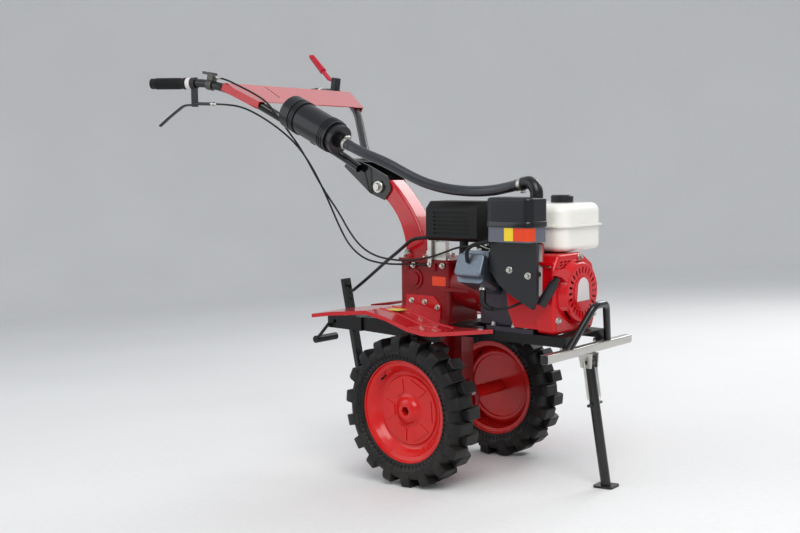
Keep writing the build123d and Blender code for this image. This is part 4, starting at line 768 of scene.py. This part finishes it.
case_side = both_sides(79, [(-91, 587), (14, 590)]) + both_sides(76, [(-52, 484), (-6, 472), (-100, 486)])
case_lid = [((x, y, 605), UP) for x in (-138, -60, 18) for y in (-66, 66)]
bell_ring = [((138, BELL_BOLTS_R * math.cos(a), CRANK_Z + BELL_BOLTS_R * math.sin(a)), BACK)
             for a in np.radians([35, 90, 145, 215, 325])]
foot_studs = [((x, s * 88, 442), UP) for x in (196, 300) for s in (-1, 1)]
cleaner_bolts = [((297, -160, 600), RIGHT), ((353, -160, 588), RIGHT)]
column_bolts = [((x, y, 615), UP) for x in (-146, -66) for y in (-39, 39)]
fan_bolts = [((394, y, z), FRONT) for y, z in ((-88, 470), (84, 470), (88, 552), (16, 626))]
rail_bolts = [((409.5, s * 82, 400), BACK) for s in (-1, 1)]
housing_bolts = [((4 + HOUSING_BOLTS_R * math.cos(a), -6, AXLE_Z + HOUSING_BOLTS_R * math.sin(a)), RIGHT)
                 for a in np.radians([20, 160, 200, 245, 295, 340])]
groups_of_heads = (("case_bolts", case_side + case_lid + bell_ring + housing_bolts, 11.0),
                   ("engine_bolts", foot_studs + cleaner_bolts + fan_bolts, 12.0),
                   ("column_bolts", column_bolts, 15.0), ("rail_bolts", rail_bolts, 13.0))
for name, table, width in groups_of_heads:
    fitted(name, hexagon_heads(table, width), *STEEL)
pivot_heads = hexagon_heads(both_sides(41, [(-255, 807)]), 24.0, height=0.4)
fitted("pivot_washers", pivot_heads, *STEEL, "handlebar_set")

# %% [markdown]
# ## Plates, stripes and stickers
# The object's stickers and plates carry print in real life; here each stays in its place and colour with
# nothing on it. The strip down the fan cover's rounded corner is a thin plate whose pale colour is a painted
# highlight of that corner. A plate is a rounded outline lifted a little off its face, with its edge rolled
# over.

# %% Rounded plates
CORNER_POINTS = 6


def rounded(width, height, radius):
    """The outline of a rectangle with round corners, counter-clockwise, as (x, y) in millimetres."""
    a = np.linspace(0, np.pi / 2, CORNER_POINTS)
    quarter = radius * np.stack([np.cos(a), np.sin(a)], axis=1)
    w, h = width / 2 - radius, height / 2 - radius
    turn = np.array([[0, -1], [1, 0]])
    corners, centres = [], [(w, h), (-w, h), (-w, -h), (w, -h)]
    for centre in centres:
        corners.append(quarter + centre)
        quarter = quarter @ turn.T
    return np.concatenate(corners)


def plate(outline, thickness, centre, across, up, edge=0.3):
    """An outline lifted off a face: rings at the face, below the edge and drawn in at the top."""
    u, v = leaned_direction(across), leaned_direction(up)
    small = 1 - edge / np.abs(outline).max()
    levels = [(-0.3, 1.0), (thickness - edge, 1.0), (thickness, small)]
    rings = stack(outline, levels, u, v, np.cross(u, v))
    return capped(leaned(centre) + rings / 1000)


X, Y, Z = (1, 0, 0), (0, 1, 0), (0, 0, 1)
stickers = (
    ("band_yellow", "sticker_yellow", rounded(27, 33, 1.5), 0.5, (315, -190.0, 692), X, Z),
    ("case_sticker", "sticker_orange", rounded(48, 26, 2), 0.4, (-4, -72, 545), X, Z),
    # A thin plate on the fan cover's rounded red corner, pale as a painted highlight of the light along that
    # corner
    ("choke_strip_highlight", "sticker_pale", rounded(17, 132, 2), 0.8, (354, -110, 598), X, Z),
    ("fender_sticker", "sticker_yellow", rounded(60, 38, 3), 0.5, (-96, -156, 468), X, Y),
)
for name, paint, outline, thickness, centre, across, up in stickers:
    fitted(name, plate(outline, thickness, centre, across, up), paint, "tank_paint")

# %% The shield on the starter
ARCH_R, ARCH_RISE = 26, 12
arch_turn = np.linspace(0, np.pi, 24)
arch = np.concatenate([np.stack([ARCH_R * np.cos(arch_turn), ARCH_RISE + ARCH_R * np.sin(arch_turn)], axis=1),
                       [(-30, -22), (30, -22)]])
fitted("starter_shield", plate(arch, 0.9, (416, 0, CRANK_Z), Y, Z, edge=0.6), "sticker_pale", "tank_paint")

# %% [markdown]
# ## Behind the starter's slots
# Through the ring of slots one sees the dark fan. A shallow dish in its place, turned about the crankshaft
# just inside the cover, gives the slots something to hide.

# %% Cooling fan
fan_profile = [(0, 4), (0, 60), (2, 74), (4, 74), (5, 60), (8, 24), (8, 4)]
fitted("cooling_fan", spun(fan_profile, (395.5, 0, CRANK_Z), X, 64), "satin_black", "black_plastic")

# %% [markdown]
# ## Small parts of the controls
# The grips have a pale collar where the lever clamps meet them, and the tall lever has a red sleeve at its
# tip. Each is a turned shape or a tube along the piece that it sits on.

# %% Collars and sleeve
bar_ends = np.array([[(-815, s * 288, 1130), (-935, s * 337, 1134)] for s in (1, -1)], float)
collar_profile = [(-0.012, 0.0136), (-0.012, 0.0172), (-0.010, 0.0182), (0.006, 0.0182), (0.007, 0.0176),
                  (0.007, 0.0136)]
collars = [grid(turned(collar_profile, start, unit(end - start), sides=40), wrap_rows=True)
           for start, end in leaned(bar_ends)]
fitted("grip_collars", together(*collars), "sticker_pale", "silver_steel", "handlebar_set")

SLEEVE_R, SLEEVE_TAPER, SLEEVE_TIP_R = 0.0112, 0.0014, 0.0050
BEAD_RISE, BEAD_SHARE, BEAD_WIDTH = 0.0008, 0.06, 0.05
sleeve_line = leaned([(-794, 275.2, 1201.5), (-825, 276.6, 1230.8), (-853.5, 278.0, 1257.6)])
sleeve_line = points_at(sleeve_line, [0, 1, 2], np.linspace(0, 2, 30))
share = np.linspace(0, 1, 30)
bead = BEAD_RISE * np.exp(-((share - BEAD_SHARE) / BEAD_WIDTH) ** 2)
sleeve_radius = SLEEVE_R - SLEEVE_TAPER * share + bead
sleeve_radius[-1] = SLEEVE_TIP_R
fitted("lever_sleeve", capped(tube(sleeve_line, sleeve_radius, sides=24, upright=(0, 1, 0))), "lever_red",
       "red_paint", "handlebar_set", sharp=50)

# %% [markdown]
# ## Ignition, breather and fuel
# Soft lines run round the head of a small engine: the plug's lead in its rubber boot, the breather from the
# valve cover to the air cleaner, and the fuel hose; a short rope joins the starter to its grip. Each is a
# smooth line read from a spline of a few points, with a tube along it. The boot's radius changes on its way.

# %% Plug, boot, lead and hoses
BOOT_R, BOOT_TAPER, BOOT_RING = 0.0088, 0.003, 0.0011
RINGS_FROM, RINGS_TO, RING_WAVES = 0.25, 0.7, 60


def soft_run(name, route, radius, paint, slot, sides=18):
    """A tube along the smooth line of a short route; the radius may change with the share of the length."""
    line = smooth_line(name + "_line", route)
    share = along_line(line) / along_line(line)[-1]
    r = radius(share) if callable(radius) else radius
    fitted(name, capped(tube(line, r, sides=sides, upright=(0.9, 0.1, 0.3))), paint, slot, sharp=60)


def boot_radius(share):
    """A wide hood over the plug, narrow at the bend, with three grip rings."""
    rings = BOOT_RING * (np.sin(share * RING_WAVES) > 0.4) * (share > RINGS_FROM) * (share < RINGS_TO)
    return BOOT_R - BOOT_TAPER * np.clip((share - 0.2) / 0.6, 0, 1) + rings


plug_profile = [(-4, 7), (3, 7), (3, 10.5), (10, 10.5), (10, 6), (26, 5.4), (27, 2.5), (31, 2.5)]
fitted("spark_plug", spun(plug_profile, (206, -150, 549), (0.25, -0.36, -0.9), 36), *STEEL)
soft_run("plug_boot", [(209, -154, 541), (212, -159, 524), (216, -164, 508), (230, -166, 498),
                       (246, -162, 497)], boot_radius, "sheath_black", "black_plastic", sides=24)
soft_run("plug_lead", [(244, -162, 497), (262, -158, 496), (284, -146, 500), (306, -128, 512),
                       (322, -114, 520), (336, -103, 524)], 0.0034, "sheath_black", "cable_black")
soft_run("breather_hose", [(184, -186, 616), (182, -190, 636), (186, -186, 654), (206, -180, 664),
                           (234, -176, 668), (252, -170, 676)], 0.0052, "sheath_black", "hose_rubber")
soft_run("fuel_hose", [(250, -34, 642), (250, -40, 622), (250, -62, 606), (251, -88, 598), (254, -106, 592)],
         0.0042, "hose_rubber", "hose_rubber")
soft_run("starter_rope", [(408, -105, 588), (406, -107, 584), (404, -109, 578)], 0.0022, "sheath_black",
         "cable_black", sides=12)

# %% [markdown]
# ## Carburettor linkage
# Between the muffler and the air cleaner the photograph shows a dark tangle of thin plates, a rod and small
# bright screws: the governor's linkage. It is built here from three plates, their screws and one rod.

# %% Linkage
LINK_Y = -137.0
bracket_outline = [(-24, -16), (20, -16), (24, -8), (24, 10), (10, 18), (-10, 18), (-24, 6)]
arm_outline = np.array([(-4, -22), (4, -22), (6, 0), (4, 22), (-4, 22), (-6, 0)], float)
plates = [plate(bracket_outline, 2.0, (204, LINK_Y, 650), X, Z, edge=0.4),
          plate(arm_outline, 1.6, (192, LINK_Y - 4, 644), (0.8, 0, 0.6), (-0.6, 0, 0.8), edge=0.3),
          plate(arm_outline * 0.8, 1.6, (222, LINK_Y - 4, 640), (0.9, 0, -0.4), (0.4, 0, 0.9), edge=0.3)]
fitted("carburettor_linkage", together(*plates), "satin_black", "engine_iron")
link_screws = [((x, LINK_Y - out, z), RIGHT)
               for x, out, z in ((192, 5.6, 644), (222, 5.6, 640), (212, 2, 660))]
fitted("linkage_screws", hexagon_heads(link_screws, 8.0), *STEEL)
soft_run("throttle_rod", [(184, LINK_Y - 7, 660), (200, LINK_Y - 8, 656), (216, LINK_Y - 8, 650),
                          (232, LINK_Y - 7, 648)], 0.0013, *STEEL, sides=10)

# %% [markdown]
# ## Clamps, plugs and valves
# Worm clamps hold the hose at the precleaner's neck and at the elbow, plastic plugs close the cross bar's
# ends, and valves stand out of the rims. All are turned shapes or plates of the kinds above.

# %% Hose clamps
NECK, NECK_WAY = np.array([-258.2, -182.0, 936.1]), np.array([0.91037, 0, -0.4138])
NECK_CLAMP_AT, SCREW_OUT = 9, 0.0195
band = [(-0.006, 0.0152), (-0.006, 0.0170), (-0.0045, 0.0174), (0.0045, 0.0174), (0.006, 0.0170),
        (0.006, 0.0152)]
screw = [(-0.008, 0.0030), (-0.008, 0.0042), (0.004, 0.0042), (0.004, 0.0034), (0.009, 0.0034),
         (0.0095, 0.0028)]


def clamp(name, place, way, body, screw_side):
    """A band turned about the hose, and a small round screw housing across its side."""
    centre, way, screw_side = leaned(place), leaned_direction(way), leaned_direction(screw_side)
    ring = grid(turned(band, centre, way, sides=48), wrap_rows=True)
    across = unit(np.cross(way, screw_side))
    housing = capped(turned(screw, centre + screw_side * SCREW_OUT, across, sides=16))
    fitted(name, together(ring, housing), *STEEL, body)


clamp("elbow_clamp", (309, -121.8, 816.4), (-0.9555, 0.2389, -0.1737), "chassis", (0.17, 0, -1))
clamp("neck_clamp", NECK + NECK_CLAMP_AT * NECK_WAY, NECK_WAY, "handlebar_set", (0.41, 0, 0.91))

# %% End plugs and rim valves
VALVE_R, VALVE_TURN, VALVE_IN, VALVE_LEAN = 118, 2.2, 12, (0.35, 0.93)
plugs = [plate(rounded(21, 21, 3), 2.2, (432, s * 207, 391), across, up, edge=0.8)
         for s, across, up in ((1, Z, X), (-1, X, Z))]
fitted("cross_bar_plugs", together(*plugs), "shroud_plastic", "black_plastic")
valve = np.array([(-2, 3.6), (4, 3.4), (6, 2.4), (22, 2.4), (22, 3.4), (31, 3.2), (32, 2.2)])
x, up = math.cos(VALVE_TURN), math.sin(VALVE_TURN)
stems = []
for sign in (1, -1):
    seat = stood([VALVE_R * x, sign * (TRACK / 2 + VALVE_IN), AXLE_Z + VALVE_R * up])
    way = unit(np.array([-VALVE_LEAN[0] * x, sign * VALVE_LEAN[1], -VALVE_LEAN[0] * up]))
    stems.append(capped(turned(valve / 1000, seat, way, sides=20)))
fitted("tyre_valves", together(*stems), "sheath_black", "black_plastic", "wheel_set")

# %% [markdown]
# ## Air cleaner's lip and wrapped label
# The cleaner's cover is a deep moulded tray turned over. Its lower edge is folded out to a lip that stiffens
# the rim and catches a line of light. The orange label runs round the corner of the grey band. Both follow
# the rounded outline of the cleaner, and one function sweeps a section round it.

# %% Sweep a section round the cleaner
CLEANER_MIDDLE = (311.0, -148.0)


def round_the_cleaner(outline, section, closed):
    """A section of pairs (out, height) swept along an outline that runs counter-clockwise from above."""
    if closed:
        along = np.roll(outline, -1, axis=0) - np.roll(outline, 1, axis=0)
    else:
        along = np.gradient(outline, axis=0)
    out = np.stack([along[:, 1], -along[:, 0]], axis=1)
    out /= np.linalg.norm(out, axis=1, keepdims=True)
    flat = (outline + CLEANER_MIDDLE)[:, None, :] + out[:, None, :] * section[None, :, :1]
    height = np.broadcast_to(section[None, :, 1:], flat.shape[:2] + (1,))
    points = leaned(np.concatenate([flat, height], axis=2))
    return grid(points, wrap_rows=True) if closed else capped(points)


lip_section = np.array([(-0.6, 711), (-0.6, 724.2), (0.9, 723.8), (1.8, 722.6), (1.8, 711.5), (1.4, 711)])
fitted("cover_lip", round_the_cleaner(rounded(138, 88, 20), lip_section, True), "gloss_black",
       "black_plastic")
# The outline ends with its corner at the front of the outer side
front_corner = rounded(134, 84, 18)[-CORNER_POINTS:]
label_path = np.concatenate([[(18.5, -42.0)], front_corner, [(67.0, -17.0)]])
label_section = np.array([(-0.3, 675.5), (-0.3, 708.5), (0.5, 708.3), (0.5, 675.7)])
fitted("band_orange", round_the_cleaner(label_path, label_section, False), "sticker_orange", "tank_paint")

# %% [markdown]
# ## Cable ends, choke and studs
# Where a control cable leaves its lever, a threaded adjuster takes up the slack; at the other end a pin holds
# it. The choke is a short pressed lever beside the starter's cover. They are turned profiles and a plate.

# %% Adjusters, pin, choke lever and stud
adjuster = [(-3, 2.6), (-3, 4.4), (9, 4.4), (9, 6.2), (14, 6.2), (14, 3.8), (24, 3.6), (27, 3.0)]
for name, start, way in (("clutch_adjuster", (-717, -284, 1062.6), (1, 0, -0.06)),
                         ("throttle_adjuster", (-719, -263.8, 1145.4), (1, 0.23, -0.23))):
    fitted(name, spun(adjuster, start, way, 24), *STEEL, "handlebar_set")
fitted("clevis_pin", hexagon_heads([((-26, -86, 594), RIGHT)], 9.0), *STEEL)
choke_outline = [(-14, -3), (6, -3), (10, -5), (15, -4), (16, 0), (15, 4), (10, 5), (6, 3), (-14, 3)]
fitted("choke_lever", plate(choke_outline, 2.0, (373, -110.6, 611), X, Z, edge=0.6), *STEEL)
stud = [(-2, 3.6), (20, 3.6), (21, 2.8)]
nut = [(0, 8.0), (1.5, 8.0), (1.5, 6.6), (7, 6.6), (7.8, 5.6)]
standing = [spun(shape, (262, -92, 441), UP, 24) for shape in (stud, nut)]
fitted("engine_stud", together(*standing), *STEEL)
